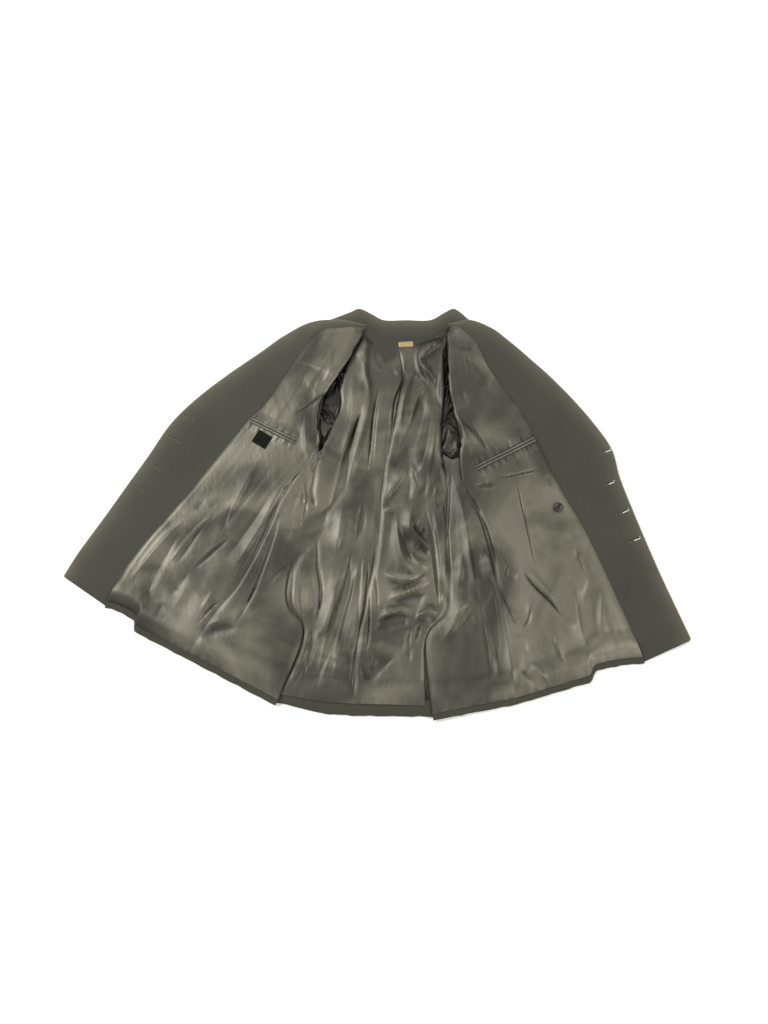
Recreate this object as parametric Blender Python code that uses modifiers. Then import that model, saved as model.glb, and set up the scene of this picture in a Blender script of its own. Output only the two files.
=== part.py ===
"""Service dress jacket, double-breasted, laid open on its back with its inside up.

Metres, +Z up. The jacket lies on the plane z = 0 with its neck toward +Y and both fronts spread to the
sides. Right and left are the wearer's: the right front lies at -X and the left front at +X. The plan sizes
in the tables are centimetres and the heights are millimetres; each row of a table is one section.
"""
import math

import bpy
import bmesh
import numpy as np
from mathutils import Vector
from mathutils.bvhtree import BVHTree

for item in list(bpy.data.objects):
    bpy.data.objects.remove(item, do_unlink=True)

CM = 0.01
MM = 0.001

# Cloth walls and the gap between touching pieces
WOOL = 1.6 * MM
SATIN = 1.0 * MM
GAP = 0.3 * MM
SEAM_GAP = 0.15 * MM          # each side of a seam draws back by this much
FLOAT = 0.6 * MM              # how far a lining floats off its shell between seams

# Folded edges
ROLL_RADIUS = 4.6 * MM        # facing's middle line round the lapel roll
EDGE_RADIUS = 3.0 * MM        # the same round the sewn front edge
FRONT_HEM_SHOWS = 1.0 * CM    # wool that shows between a front lining and the hem
BACK_HEM_SHOWS = 2.0 * CM     # the same on the back
TURN_UP = 2.8 * CM            # depth of a turned-up hem
MOST_OF_ROW = 0.85            # largest share of a half row that a hem takes

# Smaller pieces
FRONT_BUTTON_DIAMETER = 23.0 * MM
FRONT_BUTTON_HEIGHT = 8.6 * MM
INNER_BUTTON_DIAMETER = 20.0 * MM
INNER_BUTTON_HEIGHT = 3.6 * MM
BUTTON_INSET = 8.0 * CM       # from a buttonhole to its button, along the front
WELT_WIDTH = 4.5 * MM
WELT_HEIGHT = 1.8 * MM
LABEL_HEIGHT = 0.8 * MM

HALF_ROWS = 2                 # steps between two rows of a table
TURN_STEPS = 4                # steps round a fold

# Right front, neck to hem: front edge x, y | facing seam x, y | middle x, y | armhole or side seam x, y
RIGHT_FRONT = (
    (-2.4, 40.6, -2.2, 39.1, -2.4, 38.7, -2.8, 38.1),
    (-7.8, 40.6, -6.8, 38.7, -5.7, 37.6, -3.8, 36.1),
    (-13.6, 40.2, -12.3, 37.8, -9.4, 36.3, -5.3, 33.1),
    (-19.0, 37.6, -16.0, 32.9, -12.3, 32.0, -7.3, 29.5),
    (-24.3, 33.7, -19.2, 28.0, -15.3, 26.9, -9.7, 25.9),
    (-31.3, 28.6, -22.7, 22.5, -17.8, 22.2, -11.7, 22.7),
    (-37.5, 23.5, -26.1, 19.3, -19.8, 18.7, -12.3, 18.1),
    (-42.3, 18.4, -30.6, 13.5, -22.7, 13.0, -11.8, 13.5),
    (-46.3, 12.1, -34.9, 7.9, -26.6, 6.9, -14.2, 9.6),
    (-50.4, 5.9, -40.3, 1.1, -32.5, -0.3, -18.5, 4.7),
    (-54.4, -0.2, -45.6, -5.3, -37.7, -5.3, -21.8, -3.4),
    (-58.0, -5.5, -49.2, -10.2, -42.5, -13.2, -27.1, -13.4),
    (-59.6, -7.9, -50.8, -12.9, -44.3, -16.8, -30.6, -18.2),
    (-61.0, -10.3, -52.2, -15.6, -46.0, -20.0, -33.8, -22.7),
    (-62.3, -12.6, -53.6, -18.4, -47.6, -23.2, -37.3, -28.4),
)
LEFT_FRONT = (
    (14.6, 40.6, 14.5, 39.6, 14.3, 39.1, 14.1, 38.3),
    (19.1, 40.6, 17.4, 38.3, 16.0, 37.6, 14.3, 36.6),
    (23.5, 38.9, 20.7, 34.8, 17.8, 34.2, 14.4, 33.6),
    (27.1, 36.3, 22.6, 30.5, 18.9, 29.9, 14.6, 29.7),
    (31.4, 32.4, 25.4, 26.1, 20.5, 25.4, 14.7, 25.1),
    (35.4, 28.6, 28.4, 22.0, 22.1, 21.0, 15.7, 20.2),
    (40.1, 23.5, 30.9, 17.8, 24.2, 16.4, 16.9, 15.6),
    (44.2, 18.4, 33.0, 13.3, 25.7, 12.0, 16.5, 11.2),
    (47.5, 13.2, 35.3, 8.1, 27.6, 6.9, 17.0, 6.3),
    (48.9, 7.4, 37.6, 3.2, 30.1, 1.1, 20.0, 0.6),
    (51.4, 0.2, 41.0, -2.9, 33.3, -4.5, 22.1, -5.4),
    (54.6, -8.3, 45.0, -11.9, 37.2, -14.0, 23.4, -12.5),
    (57.0, -14.3, 47.3, -17.3, 38.6, -20.5, 24.6, -19.8),
    (59.3, -19.7, 49.8, -23.4, 40.1, -26.8, 25.8, -28.0),
    (61.6, -25.1, 52.1, -29.3, 41.3, -33.0, 26.9, -37.2),
)
# Height of a front above the floor, row by row: rolled edge | a quarter in | facing seam | middle | side
FRONT_LIFT = (
    (6.6, 15.0, 15.0, 14.0, 12.0),
    (6.4, 15.0, 15.5, 15.5, 14.5),
    (5.0, 13.5, 16.0, 18.0, 17.5),
    (0.0, 12.0, 17.0, 20.0, 20.5),
    (0.0, 12.0, 18.0, 21.0, 22.0),
    (0.0, 12.0, 17.5, 21.5, 22.5),
    (0.0, 11.5, 16.5, 20.5, 22.5),
    (0.0, 11.0, 15.0, 19.0, 21.0),
    (0.0, 10.0, 14.0, 17.0, 17.5),
    (0.0, 9.5, 12.5, 14.5, 14.0),
    (0.0, 9.5, 11.5, 12.0, 11.5),
    (0.0, 9.0, 10.5, 11.0, 10.5),
    (0.0, 8.0, 9.5, 10.0, 10.0),
    (0.0, 6.5, 8.5, 9.5, 9.5),
    (0.0, 1.2, 0.0, 0.0, 0.0),
)
# Width of the lapel turned under each front, row by row, and of the seam turned in below it
RIGHT_LAPEL = (2.6, 3.6, 6.0, 7.5, 7.0, 5.5, 3.0, 1.2, 0.8, 0.8, 0.8, 0.8, 0.8, 0.8, 0.8)
LEFT_LAPEL = (2.6, 3.6, 6.0, 7.5, 7.5, 6.5, 5.0, 3.0, 1.2, 0.8, 0.8, 0.8, 0.8, 0.8, 0.8)
ROLL_SHARE_RIGHT = (1, 1, 1, 1, 1, 1, 0.8, 0.4, 0, 0, 0, 0, 0, 0, 0)
ROLL_SHARE_LEFT = (1, 1, 1, 1, 1, 1, 1, 0.8, 0.4, 0, 0, 0, 0, 0, 0)

# Back, neck to hem: right side x, y | pleat x, y | middle x, y | left middle x, y | left side x, y
BACK = (
    (-3.3, 37.2, 1.5, 31.1, 4.4, 34.6, 8.7, 35.8, 13.6, 37.4),
    (-5.6, 32.2, 0.7, 26.8, 5.2, 28.3, 9.5, 30.1, 13.5, 32.6),
    (-7.3, 26.8, -0.1, 22.6, 3.5, 23.7, 9.7, 24.7, 13.6, 25.4),
    (-7.7, 21.3, -0.7, 18.4, 2.9, 17.3, 8.6, 18.4, 13.0, 18.4),
    (-11.1, 12.8, -1.7, 11.0, 1.7, 10.7, 7.0, 11.5, 12.9, 12.0),
    (-13.0, 7.4, -2.5, 5.4, 0.9, 5.2, 6.9, 6.2, 13.7, 7.4),
    (-14.7, -0.2, -3.1, -1.2, 0.5, -1.2, 7.3, -1.2, 13.8, -0.2),
    (-15.4, -6.7, -3.9, -7.3, -0.1, -6.9, 7.3, -6.9, 13.9, -6.9),
    (-16.9, -12.3, -4.8, -13.0, -1.2, -13.0, 6.8, -13.0, 14.1, -13.0),
    (-17.2, -18.4, -6.2, -19.3, -2.7, -19.3, 5.5, -19.3, 13.5, -19.4),
    (-14.6, -23.9, -7.3, -25.5, -3.9, -26.0, 4.4, -26.0, 9.5, -25.3),
    (-19.6, -37.4, -10.6, -38.9, -4.9, -39.3, 1.5, -39.4, 9.2, -39.7),
)
# Height of the back and of the side panels, row by row from the underarm: side's middle | side's back seam
BACK_LIFT_UPPER = (1.8, 3.2, 3.8, 4.0)
SIDE_LIFT = (
    (19.5, 18.5),
    (14.5, 10.0),
    (11.5, 5.0),
    (9.5, 2.5),
    (8.5, 1.0),
    (8.5, 0.8),
    (8.5, 4.0),
    (2.0, 5.4),
)
UNDERARM_ROW = 7              # the fronts' row where the side seam starts
BACK_UNDERARM_ROW = 4         # the back's row at the same place
# Where the back runs on under each vent at its hem
RIGHT_VENT_UNDERLAP = (-21.8, -36.2)
LEFT_VENT_UNDERLAP = (12.0, -39.5)

# Sleeves, armhole to cuff: outer end x, y | inner end x, y | height of the flattened tube
RIGHT_SLEEVE = (
    (-4.5, 34.5, -12.0, 14.2, 18.5),
    (-11.5, 30.5, -14.6, 11.6, 17.0),
    (-19.0, 24.0, -17.0, 7.6, 13.0),
    (-24.5, 17.0, -19.0, 1.6, 9.5),
    (-29.5, 8.0, -21.5, -5.6, 7.5),
    (-34.0, -2.0, -24.5, -12.4, 7.5),
    (-38.0, -10.0, -27.2, -18.2, 7.5),
    (-41.0, -16.2, -29.4, -23.4, 7.5),
)
LEFT_SLEEVE = (
    (14.4, 35.0, 17.3, 12.0, 18.5),
    (19.5, 29.5, 19.0, 9.6, 17.0),
    (25.5, 22.0, 20.8, 5.8, 13.0),
    (30.0, 14.0, 22.5, 0.6, 9.5),
    (34.0, 5.0, 25.2, -7.4, 7.5),
    (38.5, -5.0, 28.6, -14.6, 7.5),
    (43.0, -13.0, 32.0, -20.6, 7.5),
    (46.8, -19.2, 35.0, -26.2, 7.5),
)
SLEEVE_WALL = 1.8 * MM
ARMHOLE_EASE = 3.0 * MM       # how far the sleeve's two ends lie outside the back's armhole edge
ARMHOLE_TUCK = 9.0 * MM       # how far its lower wall runs in under that edge between them
SHOULDER_WIDTH = (1.6 * CM, 0.3 * CM)      # how far the back's cloth runs on beyond its lining at the neck
SLEEVE_POINTS = 16
SLEEVE_SQUARENESS = 0.4       # how square the flattened tube's ends are, 1 for round
MOUTH_START = 3               # the front's half row where the armhole starts

# Collar, right end to left: roll line x, y | stand's lower seam x, y
COLLAR = (
    (-11.0, 40.6, -8.0, 39.5),
    (-8.3, 41.6, -6.4, 39.5),
    (-5.6, 42.7, -4.6, 39.4),
    (-3.7, 43.4, -3.0, 39.2),
    (-1.2, 42.2, -1.0, 38.5),
    (1.4, 40.9, 1.2, 37.2),
    (6.1, 40.9, 6.0, 36.7),
    (10.8, 40.9, 10.8, 37.1),
    (13.8, 42.5, 13.3, 38.6),
    (15.7, 43.4, 14.8, 39.2),
    (17.2, 42.6, 16.2, 39.4),
    (18.6, 41.3, 17.4, 39.4),
    (20.4, 40.2, 18.8, 39.2),
)
NECK_ENDS = (-2.5, 14.0)      # where the wool inside the neck meets the two facings
COLLAR_RADIUS = 1.6 * MM
COLLAR_FALL = 3.0 * CM

# Folds of the linings: start x, y | bend x, y | end x, y | width | height
FOLDS = (
    (-5.8, 30.0, -7.0, 16.0, -12.5, -8.0, 6.5, 8.0),
    (-3.0, 33.0, -1.5, 20.0, -9.0, -26.0, 6.0, 11.0),
    (12.0, 35.0, 11.0, 20.0, 8.0, 0.0, 8.0, 13.0),
    (10.0, 26.0, 4.5, 14.0, 2.5, 2.0, 5.5, 7.0),
    (4.5, 0.0, 6.0, -9.0, 12.0, -19.0, 7.0, 7.0),
    (0.5, -15.5, 6.5, -15.5, 12.5, -12.0, 7.0, 6.0),
    (0.0, -22.0, 6.0, -22.0, 12.0, -20.5, 7.0, 5.0),
    (-7.0, -5.0, -9.5, -20.0, -14.0, -35.0, 6.5, 9.0),
    (17.0, -1.0, 20.0, -16.0, 23.0, -35.0, 7.0, 8.0),
    (28.5, -11.5, 32.0, -17.0, 36.5, -21.5, 7.0, 6.0),
    (38.5, -9.0, 39.0, -18.0, 39.5, -29.0, 8.0, 5.0),
    (-31.0, 0.0, -41.0, -10.5, -46.5, -20.5, 8.0, 6.0),
    (-20.0, 0.5, -22.0, -10.0, -28.0, -23.0, 7.0, 6.0),
    (-15.5, -5.5, -13.5, -14.5, -13.5, -21.0, 6.5, 6.0),
    (-16.0, 30.0, -14.0, 25.0, -13.5, 20.0, 7.0, 4.0),
    (20.0, 27.0, 19.5, 22.0, 20.5, 17.0, 7.0, 4.0),
)

# Buttonholes of each front, at their middles, x, y
RIGHT_HOLES = ((-38.5, 20.1), (-41.3, 15.4), (-44.3, 9.5), (-47.6, 5.0))
LEFT_HOLES = ((46.0, 13.0), (46.3, 6.3), (48.5, 0.3), (50.5, -5.3))
INNER_BUTTON = (35.9, 1.1)

# Inner breast pockets: outer end x, y | inner end x, y
RIGHT_POCKET = (-25.5, 19.0, -16.5, 14.4)
LEFT_POCKET = (31.6, 15.0, 19.6, 8.9)
POCKET_LABEL = (-23.2, 14.9, 3.2, 2.9, -31.0)        # middle x, y | width | height | turn in degrees
NECK_LABEL = (5.8, 35.3, 3.0, 1.3, 3.0)

jacket = bpy.data.collections.new("service_dress_jacket")
bpy.context.scene.collection.children.link(jacket)


def finish(name, colour, roughness, metallic=0.0):
    """A plain surface in one of the jacket's colours."""
    made = bpy.data.materials.new(name)
    made.use_nodes = True
    shader = made.node_tree.nodes["Principled BSDF"]
    shader.inputs["Base Color"].default_value = (*colour, 1.0)
    shader.inputs["Roughness"].default_value = roughness
    shader.inputs["Metallic"].default_value = metallic
    return made


WOOL_CLOTH = finish("dark wool serge", (0.045, 0.045, 0.040), 0.9)
SATIN_CLOTH = finish("satin lining", (0.13, 0.12, 0.10), 0.35)
BRASS = finish("brass button", (0.60, 0.42, 0.16), 0.3, 1.0)
HORN = finish("dark button", (0.02, 0.02, 0.02), 0.3)
BLACK_LABEL = finish("woven black label", (0.01, 0.01, 0.01), 0.8)
CREAM_LABEL = finish("woven cream label", (0.75, 0.68, 0.50), 0.8)


def through(points, steps):
    """Points of a smooth curve through the rows given, with a number of steps between each two."""
    rows = np.asarray(points, dtype=float)
    ends = np.concatenate([2 * rows[:1] - rows[1:2], rows, 2 * rows[-1:] - rows[-2:-1]])
    out = []
    for index in range(len(rows) - 1):
        before, start, stop, after = ends[index:index + 4]
        for step in range(steps):
            t = step / steps
            out.append(0.5 * (2 * start + (stop - before) * t
                              + (2 * before - 5 * start + 4 * stop - after) * t ** 2
                              + (3 * start - before - 3 * stop + after) * t ** 3))
    out.append(rows[-1])
    return np.array(out)


def plan(table, steps=HALF_ROWS):
    """A table of x, y pairs in centimetres as rows of plan points in metres."""
    rows = np.array(table) * CM
    return through(rows.reshape(len(rows), -1, 2), steps)


def across(rows, cells):
    """Straight steps from column to column of each row."""
    out = []
    for column, count in enumerate(cells):
        for step in range(count):
            share = step / count
            out.append(rows[:, column] * (1 - share) + rows[:, column + 1] * share)
    out.append(rows[:, len(cells)])
    return np.stack(out, axis=1)


def pulled_in(rows, amount=SEAM_GAP):
    """The same rows with both ends drawn in, which leaves the seam's gap."""
    rows = rows.copy()
    for end, inner in ((0, 1), (-1, -2)):
        way = rows[:, inner, :2] - rows[:, end, :2]
        length = np.linalg.norm(way, axis=1, keepdims=True)
        rows[:, end, :2] += way / np.maximum(length, 1e-6) * amount
    return rows


def raised(points, heights):
    """Plan points with a height each."""
    return np.concatenate([points, heights[..., None]], axis=2)


def add_mesh(name, points, faces, material):
    """One closed solid from points and faces, with its faces turned outward."""
    mesh = bpy.data.meshes.new(name)
    shape = bmesh.new()
    corners = [shape.verts.new(point) for point in points]
    for face in faces:
        shape.faces.new([corners[index] for index in face])
    loose = [vert for vert in shape.verts if not vert.link_faces]
    bmesh.ops.delete(shape, geom=loose, context="VERTS")
    bmesh.ops.triangulate(shape, faces=shape.faces)
    bmesh.ops.recalc_face_normals(shape, faces=shape.faces)
    shape.to_mesh(mesh)
    shape.free()
    mesh.materials.append(material)
    mesh.shade_smooth()
    mesh.set_sharp_from_angle(angle=math.radians(40))
    thing = bpy.data.objects.new(name, mesh)
    jacket.objects.link(thing)
    return thing


def cloth_wall(name, middle, way, thickness, material, used=None):
    """A wall of cloth: a net of points on its middle, thickened along the way given at each point."""
    rows, columns = middle.shape[:2]
    upper = (middle + way * thickness / 2).reshape(-1, 3)
    lower = (middle - way * thickness / 2).reshape(-1, 3)
    count = rows * columns
    if used is None:
        used = np.ones((rows - 1, columns - 1), dtype=bool)
    faces = []
    sides = {}
    for row in range(rows - 1):
        for column in range(columns - 1):
            if not used[row, column]:
                continue
            first = row * columns + column
            ring = (first, first + 1, first + columns + 1, first + columns)
            faces += [ring[:3], (ring[0], ring[2], ring[3])]
            faces += [tuple(count + index for index in reversed(ring[:3])),
                      tuple(count + index for index in (ring[3], ring[2], ring[0]))]
            for start, stop in zip(ring, ring[1:] + ring[:1]):
                sides[(start, stop)] = True
    for start, stop in sides:
        if (stop, start) not in sides:
            faces.append((stop, start, start + count, stop + count))
    return add_mesh(name, list(upper) + list(lower), faces, material)


def toward(points, aims, distance):
    """The points moved a distance toward their aims."""
    length = np.linalg.norm((aims - points)[:, :2], axis=1, keepdims=True)
    return points + (aims - points) * np.minimum(distance / length, MOST_OF_ROW)


def straight_up(net):
    """The upward way for each point of a net."""
    return np.broadcast_to(np.array([0.0, 0.0, 1.0]), net.shape).copy()


def fold_height(points):
    """Height that the soft folds add at plan points."""
    total = np.zeros(points.shape[:2])
    for x0, y0, x1, y1, x2, y2, width, height in FOLDS:
        ridge = through(np.array([(x0, y0), (x1, y1), (x2, y2)]) * CM, 8)
        apart = np.linalg.norm(points[:, :, None, :] - ridge[None, None], axis=3)
        nearest = apart.argmin(axis=2)
        share = nearest / (len(ridge) - 1)
        fade = np.sin(np.pi * np.clip(share * 0.9 + 0.05, 0, 1)) ** 0.5
        side = np.clip(apart.min(axis=2) / (width * CM / 2), 0, 1)
        total = np.maximum(total, height * MM * fade * np.cos(side * np.pi / 2) ** 2)
    return total


def edge_ways(edge, inner):
    """For each point of an edge, the level way that points squarely into the cloth."""
    along = np.gradient(edge, axis=0)
    square = np.stack([-along[:, 1], along[:, 0]], axis=1)
    square /= np.linalg.norm(square, axis=1, keepdims=True)
    turn = np.sign(np.sum(square * (inner - edge), axis=1, keepdims=True))
    return square * turn


def turned_edge(centre, way, level, radius, under):
    """Points and ways round a fold: from its top, round the outside, and on under the cloth."""
    points, ways = [], []
    for step in range(1, TURN_STEPS + 1):
        angle = math.pi / 2 + math.pi * step / TURN_STEPS
        out = np.concatenate([way * math.cos(angle), np.full((len(way), 1), math.sin(angle))], axis=1)
        spot = np.concatenate([centre, level[:, None]], axis=1) + out * radius[:, None]
        points.append(spot)
        ways.append(out)
    for share in (0.5, 1.0):
        spot = points[TURN_STEPS - 1].copy()
        spot[:, :2] += way * (under * share)[:, None]
        points.append(spot)
        ways.append(ways[TURN_STEPS - 1])
    return np.stack(points, axis=1), np.stack(ways, axis=1)


def hem_fold(middle, way, columns):
    """Rows that carry a shell round its hem and back up on its inside."""
    last, before = middle[-1], middle[-2]
    radius = WOOL / 2 + SEAM_GAP
    down = last - before
    down[:, 2] = 0
    down /= np.linalg.norm(down, axis=1, keepdims=True)
    rows, ways = [], []
    for step in range(1, TURN_STEPS + 1):
        angle = -math.pi / 2 + math.pi * step / TURN_STEPS
        out = down * math.cos(angle) + np.array([0, 0, math.sin(angle)])
        rows.append(last + np.array([0, 0, radius]) + out * radius)
        ways.append(-out)
    turned = toward(last, before, TURN_UP)
    rows.append(turned + np.array([0, 0, 2 * radius]))
    ways.append(-np.broadcast_to(np.array([0.0, 0.0, 1.0]), last.shape))
    used = np.ones((len(middle) + len(rows) - 1, middle.shape[1] - 1), dtype=bool)
    used[len(middle) - 1:, :columns[0]] = False
    used[len(middle) - 1:, columns[1]:] = False
    return (np.concatenate([middle, np.stack(rows)]), np.concatenate([way, np.stack(ways)]), used)


def steps_between(values):
    """Row values of a table at the half rows too."""
    return through(np.array(values, dtype=float), HALF_ROWS)


def short_of_hem(rows, depth):
    """The same rows with the last one drawn back from the hem."""
    rows = rows.copy()
    rows[-1] = toward(rows[-1], rows[-2], depth)
    return rows


def hem_room(rows_count):
    """Extra height under a lining that lies on a turned-up hem."""
    room = np.zeros(rows_count)
    room[-1] = room[-2] = WOOL + GAP
    room[-3] = 0.3 * (WOOL + GAP)
    return room


def build_front(side, table, lapel, roll_share):
    """Shell, facing and lining of one front."""
    rows = plan(table)
    lift = steps_between(FRONT_LIFT) * MM
    lift = np.maximum(lift, 0)
    under = steps_between(lapel) * CM
    share = np.clip(steps_between(roll_share), 0, 1)
    radius = EDGE_RADIUS + (ROLL_RADIUS - EDGE_RADIUS) * share
    edge = rows[:, 0]
    way = edge_ways(edge, rows[:, 1])
    centre = edge + way * (radius + WOOL / 2)[:, None]
    level = lift[:, 0] + radius + WOOL / 2
    shell_radius = radius - WOOL - GAP

    # Columns of the shell from the side to the rolled edge, each with the height of its middle
    quarter = (centre + rows[:, 1]) / 2
    columns = np.stack([rows[:, 3], rows[:, 2], rows[:, 1], quarter, centre], axis=1)
    shell_z = np.stack([lift[:, 4], lift[:, 3], lift[:, 2], lift[:, 1]], axis=1) + WOOL / 2
    shell_z = np.concatenate([shell_z, (level + shell_radius)[:, None]], axis=1)
    spots = pulled_in(raised(columns, shell_z), SEAM_GAP)
    spots[:, -1, :2] = centre
    flat = across(spots, (2, 2, 1, 1))
    turn, turn_way = turned_edge(centre, way, level, shell_radius, np.maximum(under - 3 * MM, 3 * MM))
    middle = np.concatenate([flat, turn], axis=1)
    ways = np.concatenate([straight_up(flat), turn_way], axis=1)
    middle, ways, used = hem_fold(middle, ways, (0, 4))
    cloth_wall("front_" + side, middle, ways, WOOL, WOOL_CLOTH, used)

    # Facing: from its seam with the lining, over the shell and round the edge
    facing_z = shell_z[:, 2:4] + WOOL + GAP
    facing_z = np.concatenate([facing_z, (level + radius)[:, None]], axis=1)
    spots = raised(columns[:, 2:5], facing_z)
    spots = pulled_in(spots)
    spots[:, -1, :2] = centre
    flat = across(spots, (1, 1))
    turn, turn_way = turned_edge(centre, way, level, radius, under)
    middle = np.concatenate([flat, turn], axis=1)
    ways = np.concatenate([straight_up(flat), turn_way], axis=1)
    cloth_wall("facing_" + side, middle, ways, WOOL, WOOL_CLOTH)

    # Lining: from the facing's seam to the side
    spots = pulled_in(raised(columns[:, :3], shell_z[:, :3] + WOOL / 2 + GAP + SATIN / 2))
    net = across(spots, (5, 5))
    between = np.ones(net.shape[:2])
    between[:, 0] = between[:, -1] = 0
    net[:, :, 2] += hem_room(len(net))[:, None]
    net[:, :, 2] += between * (FLOAT + fold_height(net[:, :, :2]))
    net = short_of_hem(net, FRONT_HEM_SHOWS)
    return rows, lift, cloth_wall("front_lining_" + side, net, straight_up(net), SATIN, SATIN_CLOTH)


def build_side(side, front_rows, front_lift, back_edge):
    """Shell and lining of the panel between a front and the back."""
    start = UNDERARM_ROW * HALF_ROWS
    front_edge = front_rows[start:, 3]
    lift = steps_between(SIDE_LIFT) * MM
    columns = np.stack([front_edge, (front_edge + back_edge) / 2, back_edge], axis=1)
    shell_z = np.stack([front_lift[start:, 4], lift[:, 0], lift[:, 1]], axis=1) + WOOL / 2
    spots = pulled_in(raised(columns, shell_z))
    middle = across(spots, (2, 2))
    middle, ways, used = hem_fold(middle, straight_up(middle), (0, 4))
    cloth_wall("side_" + side, middle, ways, WOOL, WOOL_CLOTH, used)
    spots[:, :, 2] += WOOL / 2 + GAP + SATIN / 2
    net = across(spots, (3, 3))
    between = np.ones(net.shape[:2])
    between[:, 0] = between[:, -1] = 0
    net[:, :, 2] += hem_room(len(net))[:, None]
    net[:, :, 2] += between * (FLOAT + fold_height(net[:, :, :2]))
    net = short_of_hem(net, FRONT_HEM_SHOWS)
    cloth_wall("side_lining_" + side, net, straight_up(net), SATIN, SATIN_CLOTH)


def build_back():
    """The back in two halves of cloth under two halves of lining, seamed down the middle."""
    rows = plan(BACK)
    upper = steps_between(BACK_LIFT_UPPER + tuple(row[1] for row in SIDE_LIFT[:7]) + (0.0,))
    upper[-3:] = 0.0
    lift = np.zeros(rows.shape[:2])
    lift[:, 0] = lift[:, -1] = np.maximum(upper, 0) * MM
    shell_rows = rows.copy()
    shell_rows[-1, 0] = np.array(RIGHT_VENT_UNDERLAP) * CM
    shell_rows[-1, -1] = np.array(LEFT_VENT_UNDERLAP) * CM
    for row, width in enumerate(SHOULDER_WIDTH):
        shell_rows[row, 0, 0] -= width
        shell_rows[row, -1, 0] += width
    halves = (("right", slice(0, 3)), ("left", slice(2, 5)))
    linings = []
    for side, part in halves:
        spots = pulled_in(raised(shell_rows[:, part], lift[:, part] + WOOL / 2))
        middle = across(spots, (2, 2))
        middle, ways, used = hem_fold(middle, straight_up(middle), (0, 4))
        cloth_wall("back_" + side, middle, ways, WOOL, WOOL_CLOTH, used)
        spots = pulled_in(raised(rows[:, part], lift[:, part] + WOOL + GAP + SATIN / 2))
        net = across(spots, (5, 5))
        between = np.ones(net.shape[:2])
        between[:, 0] = between[:, -1] = 0
        net[:, :, 2] += hem_room(len(net))[:, None]
        net[:, :, 2] += FLOAT * between
        fold_share = between.copy()
        fold_share[-5:, 0 if side == "right" else -1] = 0
        net[:, :, 2] += fold_share * fold_height(net[:, :, :2])
        net = short_of_hem(net, BACK_HEM_SHOWS)
        linings.append(cloth_wall("back_lining_" + side, net, straight_up(net), SATIN, SATIN_CLOTH))
    return rows, linings


def build_sleeve(side, table, front_edge, front_lift, back_edge, outward):
    """A flattened sleeve in its two cut halves, under its front, open at the armhole and at the cuff."""
    rings = plan([row[:4] for row in table], 1)
    heights = np.array([row[4] for row in table]) * MM
    half_turn = SLEEVE_POINTS // 2
    nets = []
    for inset in (0.0, SLEEVE_WALL):
        net = []
        for index, (outer, inner) in enumerate(rings):
            along = inner - outer
            along = along / np.linalg.norm(along)
            ring = []
            for step in range(SLEEVE_POINTS):
                angle = math.pi * step / half_turn
                level = math.copysign(abs(math.sin(angle)) ** SLEEVE_SQUARENESS, math.sin(angle))
                level = max(-1.0, 1.04 * level)
                share = 0.5 - 0.5 * math.copysign(abs(math.cos(angle)) ** 0.6, math.cos(angle))
                spot = outer + along * inset + (inner - outer - 2 * along * inset) * share
                height = heights[index] - 2 * inset
                if index == 0:
                    line = front_edge if math.sin(angle) >= 0 else back_edge
                    place = share * (len(line) - 1)
                    low = min(int(place), len(line) - 2)
                    spot = line[low] * (1 - (place - low)) + line[low + 1] * (place - low)
                    ease = ARMHOLE_EASE - (ARMHOLE_EASE + ARMHOLE_TUCK) * math.sin(math.pi * share)
                    spot = spot + outward * (ease if line is back_edge else MM)
                    place = share * (len(front_lift) - 1)
                    height = np.interp(place, range(len(front_lift)), front_lift) - 3 * GAP - 2 * inset
                ring.append((spot[0], spot[1], inset + height * (0.5 + 0.5 * level)))
            net.append(ring + ring[:1])
        nets.append(np.array(net))
    outside, inside = nets
    for name, part, gap in (("under_sleeve_", slice(0, half_turn + 1), SEAM_GAP),
                            ("top_sleeve_", slice(half_turn, SLEEVE_POINTS + 1), -SEAM_GAP)):
        outer_net, inner_net = outside[:, part].copy(), inside[:, part].copy()
        for net in (outer_net, inner_net):
            net[:, 0, 2] += gap
            net[:, -1, 2] += gap
        middle = (outer_net + inner_net) / 2
        cloth_wall(name + side, middle, (outer_net - inner_net) / SLEEVE_WALL, SLEEVE_WALL, WOOL_CLOTH)


def build_sleeve_lining(side, front_edge, back_edge):
    """The gathered lining that shows in an armhole, lying in the mouth of the sleeve."""
    rows = []
    for index in range(len(front_edge)):
        share = index / (len(front_edge) - 1)
        place = share * (len(back_edge) - 1)
        low = min(int(place), len(back_edge) - 2)
        back = back_edge[low] * (1 - (place - low)) + back_edge[low + 1] * (place - low)
        way = front_edge[index] - back
        way = way / np.linalg.norm(way)
        rows.append((back + way * 2 * MM, front_edge[index] + way * 14 * MM))
    net = across(np.array(rows), (6,))
    count_rows, count_columns = net.shape[:2]
    heights = np.zeros((count_rows, count_columns))
    for row in range(count_rows):
        for column in range(count_columns):
            gather = 0.5 + 0.5 * math.cos(2.1 * row + 0.5 * column)
            heights[row, column] = (2.9 + 4.2 * gather * math.sin(math.pi * (column + 0.5) / count_columns)) * MM
    net = raised(net, heights)[4:-2]
    return cloth_wall("sleeve_lining_" + side, net, straight_up(net), SATIN, SATIN_CLOTH)


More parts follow.
